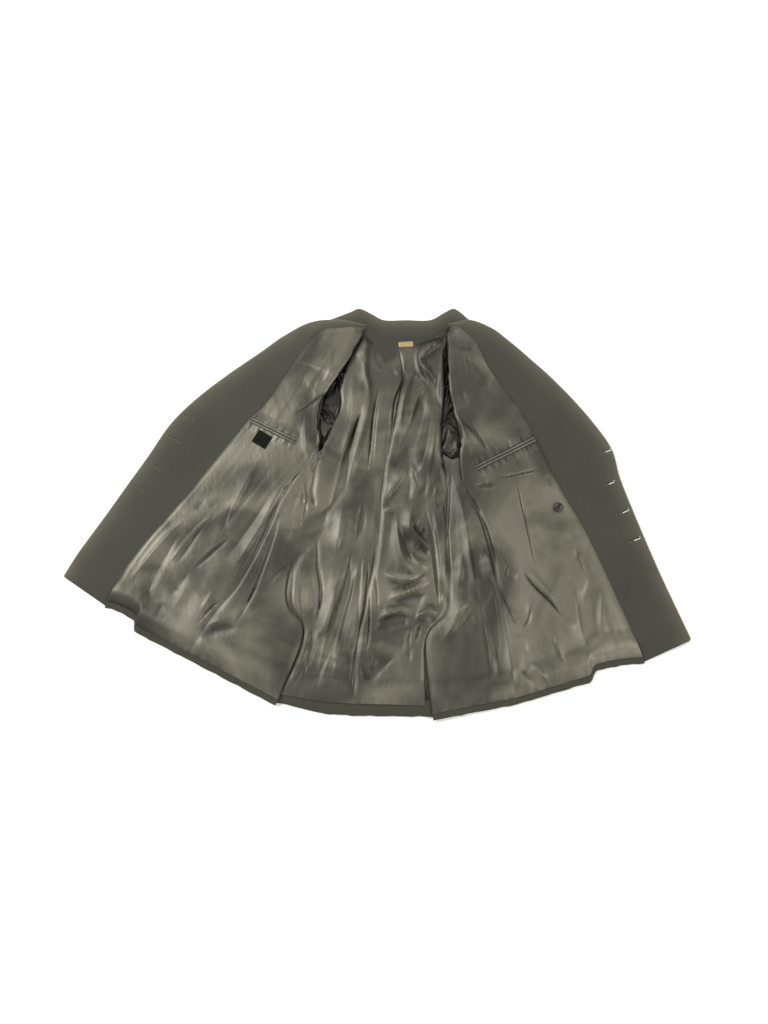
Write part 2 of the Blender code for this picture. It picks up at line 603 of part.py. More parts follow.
def build_collar():
    """The collar: its stand showing inside the neck, rolled over with its fall turned under."""
    table = through(np.array(COLLAR) * CM, 2)
    roll, seam = table[:, :2], table[:, 2:]
    way = np.zeros_like(roll)
    way[:, 1] = -1.0
    radius = np.full(len(roll), COLLAR_RADIUS)
    level = radius + WOOL / 2
    centre = roll + way * level[:, None]
    top = raised(centre[:, None], (level + radius)[:, None])
    bottom = raised(seam[:, None], np.full((len(seam), 1), WOOL + 2 * GAP + WOOL / 2 + 0.4 * MM))
    flat = across(np.concatenate([bottom, top], axis=1), (2,))
    turn, turn_way = turned_edge(centre, way, level, radius, np.full(len(roll), COLLAR_FALL))
    middle = np.concatenate([flat, turn], axis=1)
    ways = np.concatenate([straight_up(flat), turn_way], axis=1)
    cloth_wall("collar", middle, ways, WOOL, WOOL_CLOTH)


def surface_under(thing):
    """A function that finds the top of a piece at a plan point."""
    tree = BVHTree.FromPolygons([tuple(vert.co) for vert in thing.data.vertices],
                                [tuple(face.vertices) for face in thing.data.polygons])

    def top(x, y):
        spot = tree.ray_cast(Vector((x, y, 1.0)), Vector((0, 0, -1)))[0]
        return spot.z if spot else 0.0
    return top


def surface_over(thing):
    """A function that finds the underside of a piece at a plan point."""
    tree = BVHTree.FromPolygons([tuple(vert.co) for vert in thing.data.vertices],
                                [tuple(face.vertices) for face in thing.data.polygons])

    def bottom(x, y, start=0.0095):
        spot = tree.ray_cast(Vector((x, y, start)), Vector((0, 0, 1)))[0]
        return spot.z if spot else start
    return bottom


def build_neck_facing(back_rows, back_tops):
    """The wool that shows between the collar's stand and the top of the back lining."""
    seam = through(np.array([row[2:] for row in COLLAR]) * CM, 2)[8:17]
    top_row = seam + np.array([0, -0.4 * MM])
    top_row[0, 0] = NECK_ENDS[0] * CM
    top_row[-1, 0] = NECK_ENDS[1] * CM
    bottom_row = back_rows[0].copy()
    for end, inner, x in ((0, 1, NECK_ENDS[0]), (4, 3, NECK_ENDS[1])):
        share = (x * CM - bottom_row[end, 0]) / (bottom_row[inner, 0] - bottom_row[end, 0])
        bottom_row[end] += (bottom_row[inner] - bottom_row[end]) * share
    bottom_row = across((bottom_row + np.array([0, 0.5 * MM]))[None], (2, 2, 2, 2))[0]
    net = across(np.stack([top_row, bottom_row], axis=1), (4,))
    heights = np.zeros(net.shape[:2])
    for row in range(net.shape[0]):
        for column in range(net.shape[1]):
            x, y = net[row, column]
            rest = max(top(x + dx, y) for top in back_tops for dx in (-0.004, 0.0, 0.004))
            heights[row, column] = max(rest, WOOL) + GAP + 0.4 * MM + WOOL / 2
    net = raised(net, heights)
    cloth_wall("neck_facing", net, straight_up(net), WOOL, WOOL_CLOTH)


def build_welts(side, pocket, top):
    """Two narrow pipings with the pocket's slit between them."""
    start = np.array(pocket[:2]) * CM
    stop = np.array(pocket[2:]) * CM
    along = (stop - start) / np.linalg.norm(stop - start)
    square = np.array([-along[1], along[0]])
    for name, offset in (("upper", 0.55), ("lower", -0.55)):
        rows = []
        for step in range(9):
            spot = start + (stop - start) * step / 8
            near = spot + square * WELT_WIDTH * (offset - 0.42)
            far = spot + square * WELT_WIDTH * (offset + 0.42)
            rows.append((near, far))
        net = across(np.array(rows), (2,))
        heights = np.array([[top(x, y) for x, y in row] for row in net])
        heights = np.maximum(heights, heights.max(axis=1, keepdims=True) - 0.1 * MM)
        heights += GAP + 0.25 * MM + WELT_HEIGHT / 2
        heights[:, 1] += 0.5 * MM
        net = raised(net, heights)
        cloth_wall("pocket_welt_" + name + "_" + side, net, straight_up(net), WELT_HEIGHT, SATIN_CLOTH)


def build_label(name, place, tops, material):
    """A bare woven label sewn flat on what is under it."""
    x, y, width, height, turn = place
    turn = math.radians(turn)
    along = np.array([math.cos(turn), math.sin(turn)])
    square = np.array([-along[1], along[0]])
    middle = np.array([x, y]) * CM
    rows = []
    for step in range(4):
        spot = middle + square * height * CM * (step / 3 - 0.5)
        rows.append((spot - along * width * CM / 2, spot + along * width * CM / 2))
    net = across(np.array(rows), (4,))
    heights = np.array([[max(top(px, py) for top in tops) for px, py in row] for row in net])
    heights = np.maximum(heights, heights.mean()) + GAP + 0.5 * MM + LABEL_HEIGHT / 2
    net = raised(net, heights)
    cloth_wall(name, net, straight_up(net), LABEL_HEIGHT, material)


def turned_piece(name, profile, steps, material, place):
    """A round piece turned from a profile of radius and height."""
    mesh = bpy.data.meshes.new(name)
    mesh.from_pydata([(radius, 0, height) for radius, height in profile],
                     [(index, index + 1) for index in range(len(profile) - 1)], [])
    thing = bpy.data.objects.new(name, mesh)
    jacket.objects.link(thing)
    screw = thing.modifiers.new("turned", "SCREW")
    screw.steps = screw.render_steps = steps
    screw.use_merge_vertices = True
    screw.merge_threshold = 0.00005
    screw.use_normal_calculate = False
    mesh.materials.append(material)
    thing.location = place
    return thing


def build_front_buttons(side, holes, inward, shell):
    """Plain domed buttons on the outside of a front, which lies downward."""
    bottom = surface_over(shell)
    radius = FRONT_BUTTON_DIAMETER / 2
    tall = FRONT_BUTTON_HEIGHT
    for index, (x, y) in enumerate(holes):
        spot = np.array([x, y]) * CM + np.array(inward) * BUTTON_INSET
        seat = bottom(spot[0], spot[1], 0.004) - GAP
        profile = ((0.0, 0.0), (2.4 * MM, 0.0), (2.4 * MM, -0.30 * tall), (radius * 0.97, -0.38 * tall),
                   (radius, -0.50 * tall), (radius * 0.86, -0.74 * tall), (radius * 0.50, -0.94 * tall),
                   (0.0, -tall))
        turned_piece("front_button_%s_%d" % (side, index + 1), profile, 12, BRASS, (spot[0], spot[1], seat))


def build_inner_button(top):
    """The dark sewn-through button inside the left front."""
    x, y = INNER_BUTTON[0] * CM, INNER_BUTTON[1] * CM
    radius = INNER_BUTTON_DIAMETER / 2
    tall = INNER_BUTTON_HEIGHT
    seat = max(top(x + dx, y + dy) for dx in (-radius, 0, radius) for dy in (-radius, 0, radius)) + GAP
    profile = ((0.0, 0.62 * tall), (0.58 * radius, 0.62 * tall), (0.70 * radius, tall), (0.90 * radius, tall),
               (radius, 0.60 * tall), (0.86 * radius, 0.0), (0.0, 0.0))
    turned_piece("inner_button", profile, 20, HORN, (x, y, seat))


right_rows, right_lift, right_lining = build_front("right", RIGHT_FRONT, RIGHT_LAPEL, ROLL_SHARE_RIGHT)
left_rows, left_lift, left_lining = build_front("left", LEFT_FRONT, LEFT_LAPEL, ROLL_SHARE_LEFT)
back_rows, back_linings = build_back()
underarm = BACK_UNDERARM_ROW * HALF_ROWS
left_vent_edge = back_rows[underarm:, 4].copy()
left_vent_edge[-1] = np.array([10.8, -40.2]) * CM
build_side("right", right_rows, right_lift, back_rows[underarm:, 0])
build_side("left", left_rows, left_lift, left_vent_edge)

armhole = UNDERARM_ROW * HALF_ROWS
for side, table, front_rows, front_lift, back_edge in (
        ("right", RIGHT_SLEEVE, right_rows, right_lift, back_rows[2:underarm + 2, 0]),
        ("left", LEFT_SLEEVE, left_rows, left_lift, back_rows[2:underarm + 2, 4])):
    mouth = slice(MOUTH_START, armhole + 2)
    edge = front_rows[mouth, 3]
    outward = np.array([-1.0, 0.0]) if side == "right" else np.array([1.0, 0.0])
    build_sleeve(side, table, edge, front_lift[mouth, 4], back_edge, outward)
    build_sleeve_lining(side, edge, back_edge)

build_collar()
back_tops = [surface_under(bpy.data.objects[name]) for name in ("back_right", "back_left")]
build_neck_facing(back_rows, back_tops)
build_welts("right", RIGHT_POCKET, surface_under(right_lining))
build_welts("left", LEFT_POCKET, surface_under(left_lining))
build_label("pocket_label", POCKET_LABEL, [surface_under(right_lining)], BLACK_LABEL)
neck_tops = [surface_under(thing) for thing in (bpy.data.objects["neck_facing"], *back_linings)]
build_label("neck_label", NECK_LABEL, neck_tops, CREAM_LABEL)
build_inner_button(surface_under(left_lining))
build_front_buttons("right", RIGHT_HOLES, (0.92, -0.39), bpy.data.objects["front_right"])
build_front_buttons("left", LEFT_HOLES, (-0.94, -0.34), bpy.data.objects["front_left"])

# The origin is the middle of the laid jacket's box, on the floor
low = np.full(2, np.inf)
high = np.full(2, -np.inf)
for thing in jacket.objects:
    for vert in thing.data.vertices:
        spot = np.array((vert.co + thing.location)[:2])
        low = np.minimum(low, spot)
        high = np.maximum(high, spot)
middle_of_box = (low + high) / 2
for thing in jacket.objects:
    if thing.location.length > 0:
        thing.location.x -= middle_of_box[0]
        thing.location.y -= middle_of_box[1]
    else:
        for vert in thing.data.vertices:
            vert.co.x -= middle_of_box[0]
            vert.co.y -= middle_of_box[1]
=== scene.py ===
import math

import bpy
import bmesh
import numpy as np
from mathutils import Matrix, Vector
from mathutils.bvhtree import BVHTree


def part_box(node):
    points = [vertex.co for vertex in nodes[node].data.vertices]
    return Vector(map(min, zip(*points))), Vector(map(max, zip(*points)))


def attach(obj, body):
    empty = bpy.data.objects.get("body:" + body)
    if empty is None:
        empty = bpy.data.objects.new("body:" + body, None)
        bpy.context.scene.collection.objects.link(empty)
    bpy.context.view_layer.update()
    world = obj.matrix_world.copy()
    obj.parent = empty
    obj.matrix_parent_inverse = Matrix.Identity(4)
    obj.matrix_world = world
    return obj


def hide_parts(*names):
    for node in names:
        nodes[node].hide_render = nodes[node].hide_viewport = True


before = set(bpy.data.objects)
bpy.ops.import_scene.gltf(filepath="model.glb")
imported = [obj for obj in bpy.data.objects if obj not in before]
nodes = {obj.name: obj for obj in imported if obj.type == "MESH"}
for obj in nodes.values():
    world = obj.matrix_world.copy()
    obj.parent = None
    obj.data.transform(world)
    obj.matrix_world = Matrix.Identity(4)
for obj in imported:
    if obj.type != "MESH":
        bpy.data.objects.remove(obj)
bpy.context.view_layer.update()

CM = 0.01
MM = 0.001

# Fronts, outside cloth
# Each front is one cut of dark wool serge from the neck to the hem. It lies inside up, its lapel rolls under
# along the outer edge, and its hem is pressed up on the inside.
LAID_MIDDLE = (-0.35, 1.516)   # middle of the laid jacket in the plan of the tables, cm
WOOL = 1.6 * MM
GAP = 0.3 * MM
ROLL_RADIUS = 4.6 * MM
EDGE_RADIUS = 3.0 * MM
TURN_UP = 2.8 * CM
HEM_RADIUS = 2.4 * MM
HEM_STEPS = 6                  # steps of mesh round the hem's fold
HEM_CELLS = 8                  # and up its turned part
HEM_DRAW = 1.6 * CM            # how far the hem is drawn up beside the facing
HEM_DRAW_REACH = 9 * CM        # and how far above it the draw fades out
HEM_STEP = 0.84                # share of the way to the facing where it drops again
NECK_LEVEL = 0.12              # how much of its height a front keeps where it is sewn to the collar
NECK_RADIUS = 2.2 * MM         # and how tightly its edge rolls there
CORNER_RADIUS = 4.5 * MM       # of the front's lower outer corner
ROW_STEPS = 18                 # rows of mesh between two rows of a table
SHELL_STEPS = 5

# Neck to hem: front edge x, y | facing seam x, y | middle x, y | armhole or side seam x, y, in cm
RIGHT_FRONT = (
    (-2.4, 39.8, -2.2, 39.1, -2.4, 38.7, -2.8, 38.1),
    (-7.8, 40.6, -6.8, 38.7, -5.7, 37.6, -3.8, 36.1),
    (-13.6, 40.2, -12.3, 37.8, -9.4, 36.3, -5.3, 33.1),
    (-19.0, 37.6, -16.0, 32.9, -12.3, 32.0, -7.3, 29.5),
    (-24.3, 33.7, -19.2, 28.0, -15.3, 26.9, -9.7, 25.9),
    (-31.3, 28.6, -22.7, 22.5, -17.8, 22.2, -11.7, 22.7),
    (-37.5, 23.5, -26.1, 19.3, -19.8, 18.7, -12.3, 18.1),
    (-42.3, 18.4, -30.6, 13.5, -22.7, 13.0, -11.8, 13.5),
    (-46.3, 12.1, -34.9, 7.9, -26.6, 6.9, -14.2, 9.6),
    (-50.4, 5.9, -40.3, 1.1, -32.5, -0.3, -18.5, 4.7),
    (-54.4, -0.2, -45.6, -5.3, -37.7, -5.3, -21.8, -3.4),
    (-58.0, -5.5, -49.2, -10.2, -42.5, -13.2, -27.1, -13.4),
    (-59.6, -7.9, -50.8, -12.9, -44.3, -16.8, -30.6, -18.2),
    (-61.0, -10.3, -52.2, -15.6, -46.0, -20.0, -33.8, -22.7),
    (-62.3, -12.6, -53.6, -18.4, -47.6, -23.2, -37.3, -28.4),
)
LEFT_FRONT = (
    (14.6, 40.1, 14.5, 39.5, 14.3, 39.1, 14.1, 38.3),
    (19.1, 40.6, 17.4, 38.3, 16.0, 37.6, 14.3, 36.6),
    (23.5, 38.9, 20.7, 34.8, 17.8, 34.2, 14.4, 33.6),
    (27.1, 36.3, 22.6, 30.5, 18.9, 29.9, 14.6, 29.7),
    (31.4, 32.4, 25.4, 26.1, 20.5, 25.4, 14.7, 25.1),
    (35.4, 28.6, 28.4, 22.0, 22.1, 21.0, 15.7, 20.2),
    (40.1, 23.5, 30.9, 17.8, 24.2, 16.4, 16.9, 15.6),
    (44.2, 18.4, 33.0, 13.3, 25.7, 12.0, 16.5, 11.2),
    (47.5, 13.2, 35.3, 8.1, 27.6, 6.9, 17.0, 6.3),
    (48.9, 7.4, 37.6, 3.2, 30.1, 1.1, 20.0, 0.6),
    (51.4, 0.2, 41.0, -2.9, 33.3, -4.5, 22.1, -5.4),
    (54.6, -8.3, 45.0, -11.9, 37.2, -14.0, 23.4, -12.5),
    (57.0, -14.3, 47.3, -17.3, 38.6, -20.5, 24.6, -19.8),
    (59.3, -19.7, 49.8, -23.4, 40.1, -26.8, 25.8, -28.0),
    (61.6, -25.1, 52.1, -29.3, 41.3, -33.0, 26.9, -37.2),
)
# Height above the floor in mm, row by row: rolled edge | a quarter in | facing seam | middle | side
FRONT_LIFT = (
    (6.6, 15.0, 15.0, 14.0, 12.0),
    (6.4, 15.0, 15.5, 15.5, 14.5),
    (5.0, 13.5, 16.0, 18.0, 17.5),
    (0.0, 12.0, 17.0, 20.0, 20.5),
    (0.0, 12.0, 18.0, 21.0, 22.0),
    (0.0, 12.0, 17.5, 21.5, 22.5),
    (0.0, 11.5, 16.5, 20.5, 22.5),
    (0.0, 11.0, 15.0, 19.0, 21.0),
    (0.0, 10.0, 14.0, 17.0, 17.5),
    (0.0, 9.5, 12.5, 14.5, 14.0),
    (0.0, 9.5, 11.5, 12.0, 11.5),
    (0.0, 9.0, 10.5, 11.0, 10.5),
    (0.0, 8.0, 9.5, 10.0, 10.0),
    (0.0, 6.5, 8.5, 9.5, 9.5),
    (0.0, 1.2, 0.0, 0.0, 0.0),
)
# Width of the lapel turned under, in cm, and how much of the edge is a soft roll, row by row
RIGHT_LAPEL = (2.6, 3.6, 6.0, 7.5, 7.0, 5.5, 3.0, 1.2, 0.8, 0.8, 0.8, 0.8, 0.8, 0.8, 0.8)
LEFT_LAPEL = (2.6, 3.6, 6.0, 7.5, 7.5, 6.5, 5.0, 3.0, 1.2, 0.8, 0.8, 0.8, 0.8, 0.8, 0.8)
RIGHT_ROLL = (1, 1, 1, 1, 1, 1, 0.8, 0.4, 0, 0, 0, 0, 0, 0, 0)
LEFT_ROLL = (1, 1, 1, 1, 1, 1, 1, 0.8, 0.4, 0, 0, 0, 0, 0, 0)
FRONTS = {"right": (RIGHT_FRONT, RIGHT_LAPEL, RIGHT_ROLL), "left": (LEFT_FRONT, LEFT_LAPEL, LEFT_ROLL)}


def colour(code):
    """A linear colour from an sRGB hex value."""
    parts = [int(code[i:i + 2], 16) / 255 for i in (1, 3, 5)]
    return tuple(v / 12.92 if v <= 0.04045 else ((v + 0.055) / 1.055) ** 2.4 for v in parts) + (1.0,)


def add_node(material, kind, settings=None, links=None):
    """A shader node with its settings, and a link into each input named."""
    tree = material.node_tree
    made = tree.nodes.new("ShaderNode" + kind)
    for key, value in (settings or {}).items():
        if isinstance(key, str) and hasattr(made, key) and key not in made.inputs:
            setattr(made, key, value)
        else:
            made.inputs[key].default_value = value
    for key, source in (links or {}).items():
        tree.links.new(source, made.inputs[key])
    return made


def new_material(name, **sockets):
    """A material, its main shader with the values given, and the place that its patterns are drawn by."""
    made = bpy.data.materials.new(name)
    made.use_nodes = True
    shader = made.node_tree.nodes["Principled BSDF"]
    for key, value in sockets.items():
        shader.inputs[key.replace("_", " ")].default_value = value
    return made, shader, add_node(made, "TexCoord").outputs["Object"]


def pattern(material, kind, place, scale, **settings):
    """Noise or a wave over a place, from 0 to 1."""
    return add_node(material, "Tex" + kind, {"Scale": scale, **settings}, {"Vector": place}).outputs["Fac"]


def worked(material, operation, *values):
    """What a sum makes of its values, each a number or another node's output."""
    settings, links = {"operation": operation}, {}
    for index, value in enumerate(values):
        (settings if isinstance(value, (int, float)) else links)[index] = value
    return add_node(material, "Math", settings, links).outputs[0]


def stepped(material, value, start, stop, first=0.0, last=1.0):
    """A smooth step from the first to the last, while a value goes from the start to the stop."""
    settings = {"interpolation_type": "SMOOTHSTEP", 1: start, 2: stop, 3: first, 4: last}
    return add_node(material, "MapRange", settings, {0: value}).outputs[0]


def two_tone(material, dark, light, share):
    """A colour between two, by a share."""
    settings = {"data_type": "RGBA", 6: colour(dark), 7: colour(light)}
    return add_node(material, "Mix", settings, {0: share}).outputs[2]


def bumped(material, strength, distance, height, below=None):
    """The way that a surface faces with fine relief, laid over another relief if there is one."""
    links = {"Height": height} if below is None else {"Height": height, "Normal": below}
    return add_node(material, "Bump", {"Strength": strength, "Distance": distance}, links).outputs["Normal"]


def wired(material, shader, tone, facing):
    """The material, with its colour and its relief linked into its main shader."""
    material.node_tree.links.new(tone, shader.inputs["Base Color"])
    material.node_tree.links.new(facing, shader.inputs["Normal"])
    return material


def eased(share):
    """A share kept from 0 to 1 that starts and stops smoothly."""
    share = np.clip(share, 0, 1)
    return share * share * (3 - 2 * share)


def unit(ways):
    """Ways brought to a length of one."""
    return ways / np.maximum(np.linalg.norm(ways, axis=-1, keepdims=True), 1e-12)


def through(points, steps):
    """Points of a smooth curve through the rows given, with a number of steps between each two."""
    rows = np.asarray(points, dtype=float)
    ends = np.concatenate([2 * rows[:1] - rows[1:2], rows, 2 * rows[-1:] - rows[-2:-1]])
    out = []
    for index in range(len(rows) - 1):
        before, start, stop, after = ends[index:index + 4]
        for step in range(steps):
            t = step / steps
            out.append(0.5 * (2 * start + (stop - before) * t
                              + (2 * before - 5 * start + 4 * stop - after) * t ** 2
                              + (3 * start - before - 3 * stop + after) * t ** 3))
    out.append(rows[-1])
    return np.array(out)


def plan(table, steps):
    """A table of x, y pairs in centimetres as rows of plan points in metres."""
    rows = np.array(table, dtype=float)
    rows = through(rows.reshape(len(rows), -1, 2), steps)
    return (rows - np.array(LAID_MIDDLE)) * CM


def across(rows, cells):
    """Steps from column to column of each row: straight in plan, and smooth in height."""
    out = []
    tall = rows[:, :, 2] if rows.shape[2] == 3 else None
    last = rows.shape[1] - 1
    for column, count in enumerate(cells):
        for step in range(count):
            t = step / count
            spot = rows[:, column] * (1 - t) + rows[:, column + 1] * t
            if tall is not None:
                start, stop = tall[:, column], tall[:, column + 1]
                before = tall[:, column - 1] if column else 2 * start - stop
                after = tall[:, column + 2] if column + 2 <= last else 2 * stop - start
                spot[:, 2] = 0.5 * (2 * start + (stop - before) * t
                                    + (2 * before - 5 * start + 4 * stop - after) * t ** 2
                                    + (3 * start - before - 3 * stop + after) * t ** 3)
            out.append(spot)
    out.append(rows[:, len(cells)])
    return np.stack(out, axis=1)


def raised(points, heights):
    """Plan points with a height each."""
    return np.concatenate([points, heights[..., None]], axis=2)


def upward(net):
    """The upward way at each point of a net."""
    return np.broadcast_to(np.array([0.0, 0.0, 1.0]), net.shape).copy()


def distance_to_hem(net):
    """How far each point of a net lies from its last row, along the cloth in plan."""
    run = np.linalg.norm(np.diff(net[:, :, :2], axis=0), axis=2)
    return np.concatenate([run[::-1].cumsum(axis=0)[::-1], np.zeros((1, net.shape[1]))])


def hem_drawn_up(net, cells):
    """A front's net with its hem drawn up beside the facing, and dropping again in a short step."""
    side_cells, middle_cells = cells
    share = np.clip((side_cells + middle_cells - np.arange(net.shape[1])) / middle_cells, 0, 1)
    draw = np.where(share < HEM_STEP, np.sin(np.clip(share / HEM_STEP, 0, 1) * math.pi / 2),
                    0.5 + 0.5 * np.cos(np.clip((share - HEM_STEP) / (1 - HEM_STEP), 0, 1) * math.pi))
    fade = eased(1 - distance_to_hem(net) / HEM_DRAW_REACH)
    up = unit(net[-3, :, :2] - net[-1, :, :2])
    net = net.copy()
    net[:, :, :2] += up[None] * (HEM_DRAW * draw[None] * fade)[:, :, None]
    return net


def square_to(net):
    """The way square to the cloth at each point of a net, upward."""
    way = unit(np.cross(np.gradient(net, axis=0), np.gradient(net, axis=1)))
    return way * np.sign(way[:, :, 2:3] + 1e-9)


def shown(name, data):
    """An object in the scene."""
    thing = bpy.data.objects.new(name, data)
    bpy.context.scene.collection.objects.link(thing)
    return thing


def cloth(name, middle, way, thickness, material, used=None):
    """A thin wall of cloth: a net of points on its middle, thickened along the way at each point."""
    rows, columns = middle.shape[:2]
    count = rows * columns
    middle = middle.copy()
    middle[:, :, 2] = np.maximum(middle[:, :, 2], thickness / 2)
    points = np.concatenate([(middle + way * thickness / 2).reshape(-1, 3),
                             (middle - way * thickness / 2).reshape(-1, 3)])
    first = (np.arange(rows - 1)[:, None] * columns + np.arange(columns - 1)[None]).astype(int)
    if used is not None:
        first = first[used]
    first = first.ravel()
    upper = np.stack([first, first + 1, first + columns + 1, first + columns], axis=1)
    lower = upper[:, ::-1] + count
    sides = {}
    for ring in upper.tolist():
        for start, stop in zip(ring, ring[1:] + ring[:1]):
            sides[(start, stop)] = True
    rim = [(stop, start, start + count, stop + count) for start, stop in sides if (stop, start) not in sides]
    mesh = bpy.data.meshes.new(name)
    mesh.from_pydata(points.tolist(), [], upper.tolist() + lower.tolist() + rim)
    shape = bmesh.new()
    shape.from_mesh(mesh)
    bmesh.ops.delete(shape, geom=[vert for vert in shape.verts if not vert.link_faces], context="VERTS")
    bmesh.ops.recalc_face_normals(shape, faces=shape.faces)
    shape.to_mesh(mesh)
    shape.free()
    mesh.shade_smooth()
    mesh.set_sharp_from_angle(angle=math.radians(55))
    mesh.materials.append(material)
    return shown(name, mesh)


def marked(piece, name, values):
    """Gives each point of a net of cloth a value that its material reads, the same on both faces."""
    layer = piece.data.attributes.new(name, "FLOAT", "POINT")
    layer.data.foreach_set("value", np.tile(values.ravel(), 2).astype(np.float32))


def hand_over(piece, node, slot):
    """Puts a piece on the body and hides the node that it stands for; slot is not used."""
    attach(piece, "root")
    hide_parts(node)


def lay(piece, node, slot):
    """Hands a piece of cloth over."""
    hand_over(piece, node, slot)


def edge_ways(edge, inner):
    """For each point of an edge, the level way that points squarely into the cloth."""
    along = np.gradient(edge, axis=0)
    square = unit(np.stack([-along[:, 1], along[:, 0]], axis=1))
    return square * np.sign(np.sum(square * (inner - edge), axis=1, keepdims=True))


def turned_edge(centre, way, level, radius, under, steps, cells):
    """Points and ways round a fold: from its top, round the outside, and on under the cloth."""
    points, ways = [], []
    for step in range(1, steps + 1):
        angle = math.pi / 2 + math.pi * step / steps
        out = np.concatenate([way * math.cos(angle), np.full((len(way), 1), math.sin(angle))], axis=1)
        points.append(np.concatenate([centre, level[:, None]], axis=1) + out * radius[:, None])
        ways.append(out)
    for cell in range(1, cells + 1):
        spot = points[steps - 1].copy()
        spot[:, :2] += way * (under * cell / cells)[:, None]
        points.append(spot)
        ways.append(ways[steps - 1])
    return np.stack(points, axis=1), np.stack(ways, axis=1)


def hem_turned_up(middle, way, columns):
    """The net with rows added that carry the cloth round its hem and back up on its inside."""
    last, before = middle[-1], middle[-2]
    down = last - before
    down[:, 2] = 0
    down = unit(down)
    rows, ways = [], []
    for step in range(1, HEM_STEPS + 1):
        angle = -math.pi / 2 + math.pi * step / HEM_STEPS
        out = down * math.cos(angle) + np.array([0, 0, math.sin(angle)])
        wave = 0.5 * MM * (np.sin(last[:, :1] / (0.8 * CM)) + np.sin(last[:, :1] / (0.37 * CM) + 1))
        rows.append(last + np.array([0, 0, HEM_RADIUS]) + out * HEM_RADIUS + down * wave * math.cos(angle))
        ways.append(-out)
    run = np.linalg.norm(np.diff(middle[:, :, :2], axis=0), axis=2)[::-1].cumsum(axis=0)
    for cell in range(1, HEM_CELLS + 1):
        depth = TURN_UP * cell / HEM_CELLS
        spot = np.empty_like(last)
        for column in range(middle.shape[1]):
            for axis in range(3):
                spot[column, axis] = np.interp(depth, np.r_[0, run[:, column]], middle[::-1, column, axis])
        swell = 1.3 * MM * math.sin(math.pi * min(depth / (1.7 * CM), 1.0))
        spot[:, 2] += 2 * HEM_RADIUS + swell * (1 + 0.3 * np.sin(last[:, 0] / (1.3 * CM) + 9 * last[:, 1] / CM))
        rows.append(spot)
        ways.append(-np.broadcast_to(np.array([0.0, 0.0, 1.0]), last.shape))
    used = np.ones((len(middle) + len(rows) - 1, middle.shape[1] - 1), dtype=bool)
    used[len(middle) - 1:, :columns[0]] = False
    used[len(middle) - 1:, columns[1]:] = False
    return np.concatenate([middle, np.stack(rows)]), np.concatenate([way, np.stack(ways)]), used


def front_sections(side, steps):
    """The lines that every layer of a front is made from, at a number of steps a row."""
    table, lapel, roll = FRONTS[side]
    rows = plan(table, steps)
    lift = np.maximum(through(FRONT_LIFT, steps), 0) * MM
    rise = eased(np.arange(len(lift)) / (0.9 * steps))
    lift *= (NECK_LEVEL + (1 - NECK_LEVEL) * rise)[:, None]
    under = through(lapel, steps) * CM
    share = np.clip(through(roll, steps), 0, 1)
    radius = EDGE_RADIUS + (ROLL_RADIUS - EDGE_RADIUS) * share
    radius = NECK_RADIUS + (radius - NECK_RADIUS) * rise
    way = edge_ways(rows[:, 0], rows[:, 1])
    to_hem = np.linalg.norm(rows[:, 0] - rows[-1, 0], axis=1)
    inset = CORNER_RADIUS - np.sqrt(CORNER_RADIUS ** 2 - np.maximum(CORNER_RADIUS - to_hem, 0) ** 2)
    rows[:, 0] += way * inset[:, None]
    centre = rows[:, 0] + way * (radius + WOOL / 2)[:, None]
    level = lift[:, 0] + radius + WOOL / 2
    quarter = (centre + rows[:, 1]) / 2
    columns = np.stack([rows[:, 3], rows[:, 2], rows[:, 1], quarter, centre], axis=1)
    inner_radius = radius - WOOL - GAP
    tops = np.stack([lift[:, 4], lift[:, 3], lift[:, 2], lift[:, 1]], axis=1) + WOOL / 2
    shell = raised(columns, np.concatenate([tops, (level + inner_radius)[:, None]], axis=1))
    return shell, centre, way, level, radius, under


RIB_ANGLE = 52     # degrees
RIB_WIDTH = 1.6    # mm


def serge(name, dark, light):
    """Dark wool serge, a milled twill: it takes light softly, its nap greys it at a glance, and faint
    diagonal ribs show close by. The ribs are drawn about twice as coarse as real so that they show."""
    made, shader, place = new_material(name, Roughness=0.88, Sheen_Weight=0.32, Sheen_Roughness=0.4)
    shader.inputs["Specular IOR Level"].default_value = 0.25
    cloudy_tone = pattern(made, "Noise", place, 7.0, Detail=4.0)
    fibres = pattern(made, "Noise", place, 900.0, Detail=2.0)
    turned = add_node(made, "Mapping", {"Rotation": (0.0, 0.0, math.radians(RIB_ANGLE))}, {"Vector": place})
    ribs = pattern(made, "Wave", turned.outputs["Vector"], 3.14 / RIB_WIDTH * 10, Distortion=0.6, Detail=1.0)
    nap = add_node(made, "Mix", {"data_type": "RGBA", "blend_type": "OVERLAY", 0: 0.35},
                   {6: two_tone(made, dark, light, cloudy_tone), 7: fibres})
    # Painted highlight: where a piece marks its points, the wool is drawn lighter toward #59564a, for rolled
    # edges that catch the light
    painted_highlight = add_node(made, "Attribute", {"attribute_name": "painted_highlight"})
    edge_lit = add_node(made, "Mix", {"data_type": "RGBA", 7: colour("#59564a")},
                    {0: painted_highlight.outputs["Fac"], 6: nap.outputs[2]})
    relief = bumped(made, 0.35, 0.0004, worked(made, "MULTIPLY_ADD", ribs, 0.5, fibres))
    return wired(made, shader, edge_lit.outputs[2], relief)


outside_wool = serge("dark wool serge", "#32312b", "#3e3d34")

SHELLS = {}
for side in FRONTS:
    shell, centre, way, level, radius, under = front_sections(side, SHELL_STEPS)
    flat = hem_drawn_up(across(shell, (10, 20, 5, 5)), (10, 20))
    shorter = np.maximum(under - 3 * MM, 3 * MM)
    turn, turn_way = turned_edge(centre, way, level, radius - WOOL - GAP, shorter, 6, 4)
    middle = np.concatenate([flat, turn], axis=1)
    ways = np.concatenate([upward(flat), turn_way], axis=1)
    hemmed, hem_ways, used = hem_turned_up(middle, ways, (0, 30))
    SHELLS[side] = cloth("front_cloth_" + side, hemmed, hem_ways, WOOL, outside_wool, used)
    lay(SHELLS[side], "front_" + side, "wool_shell")

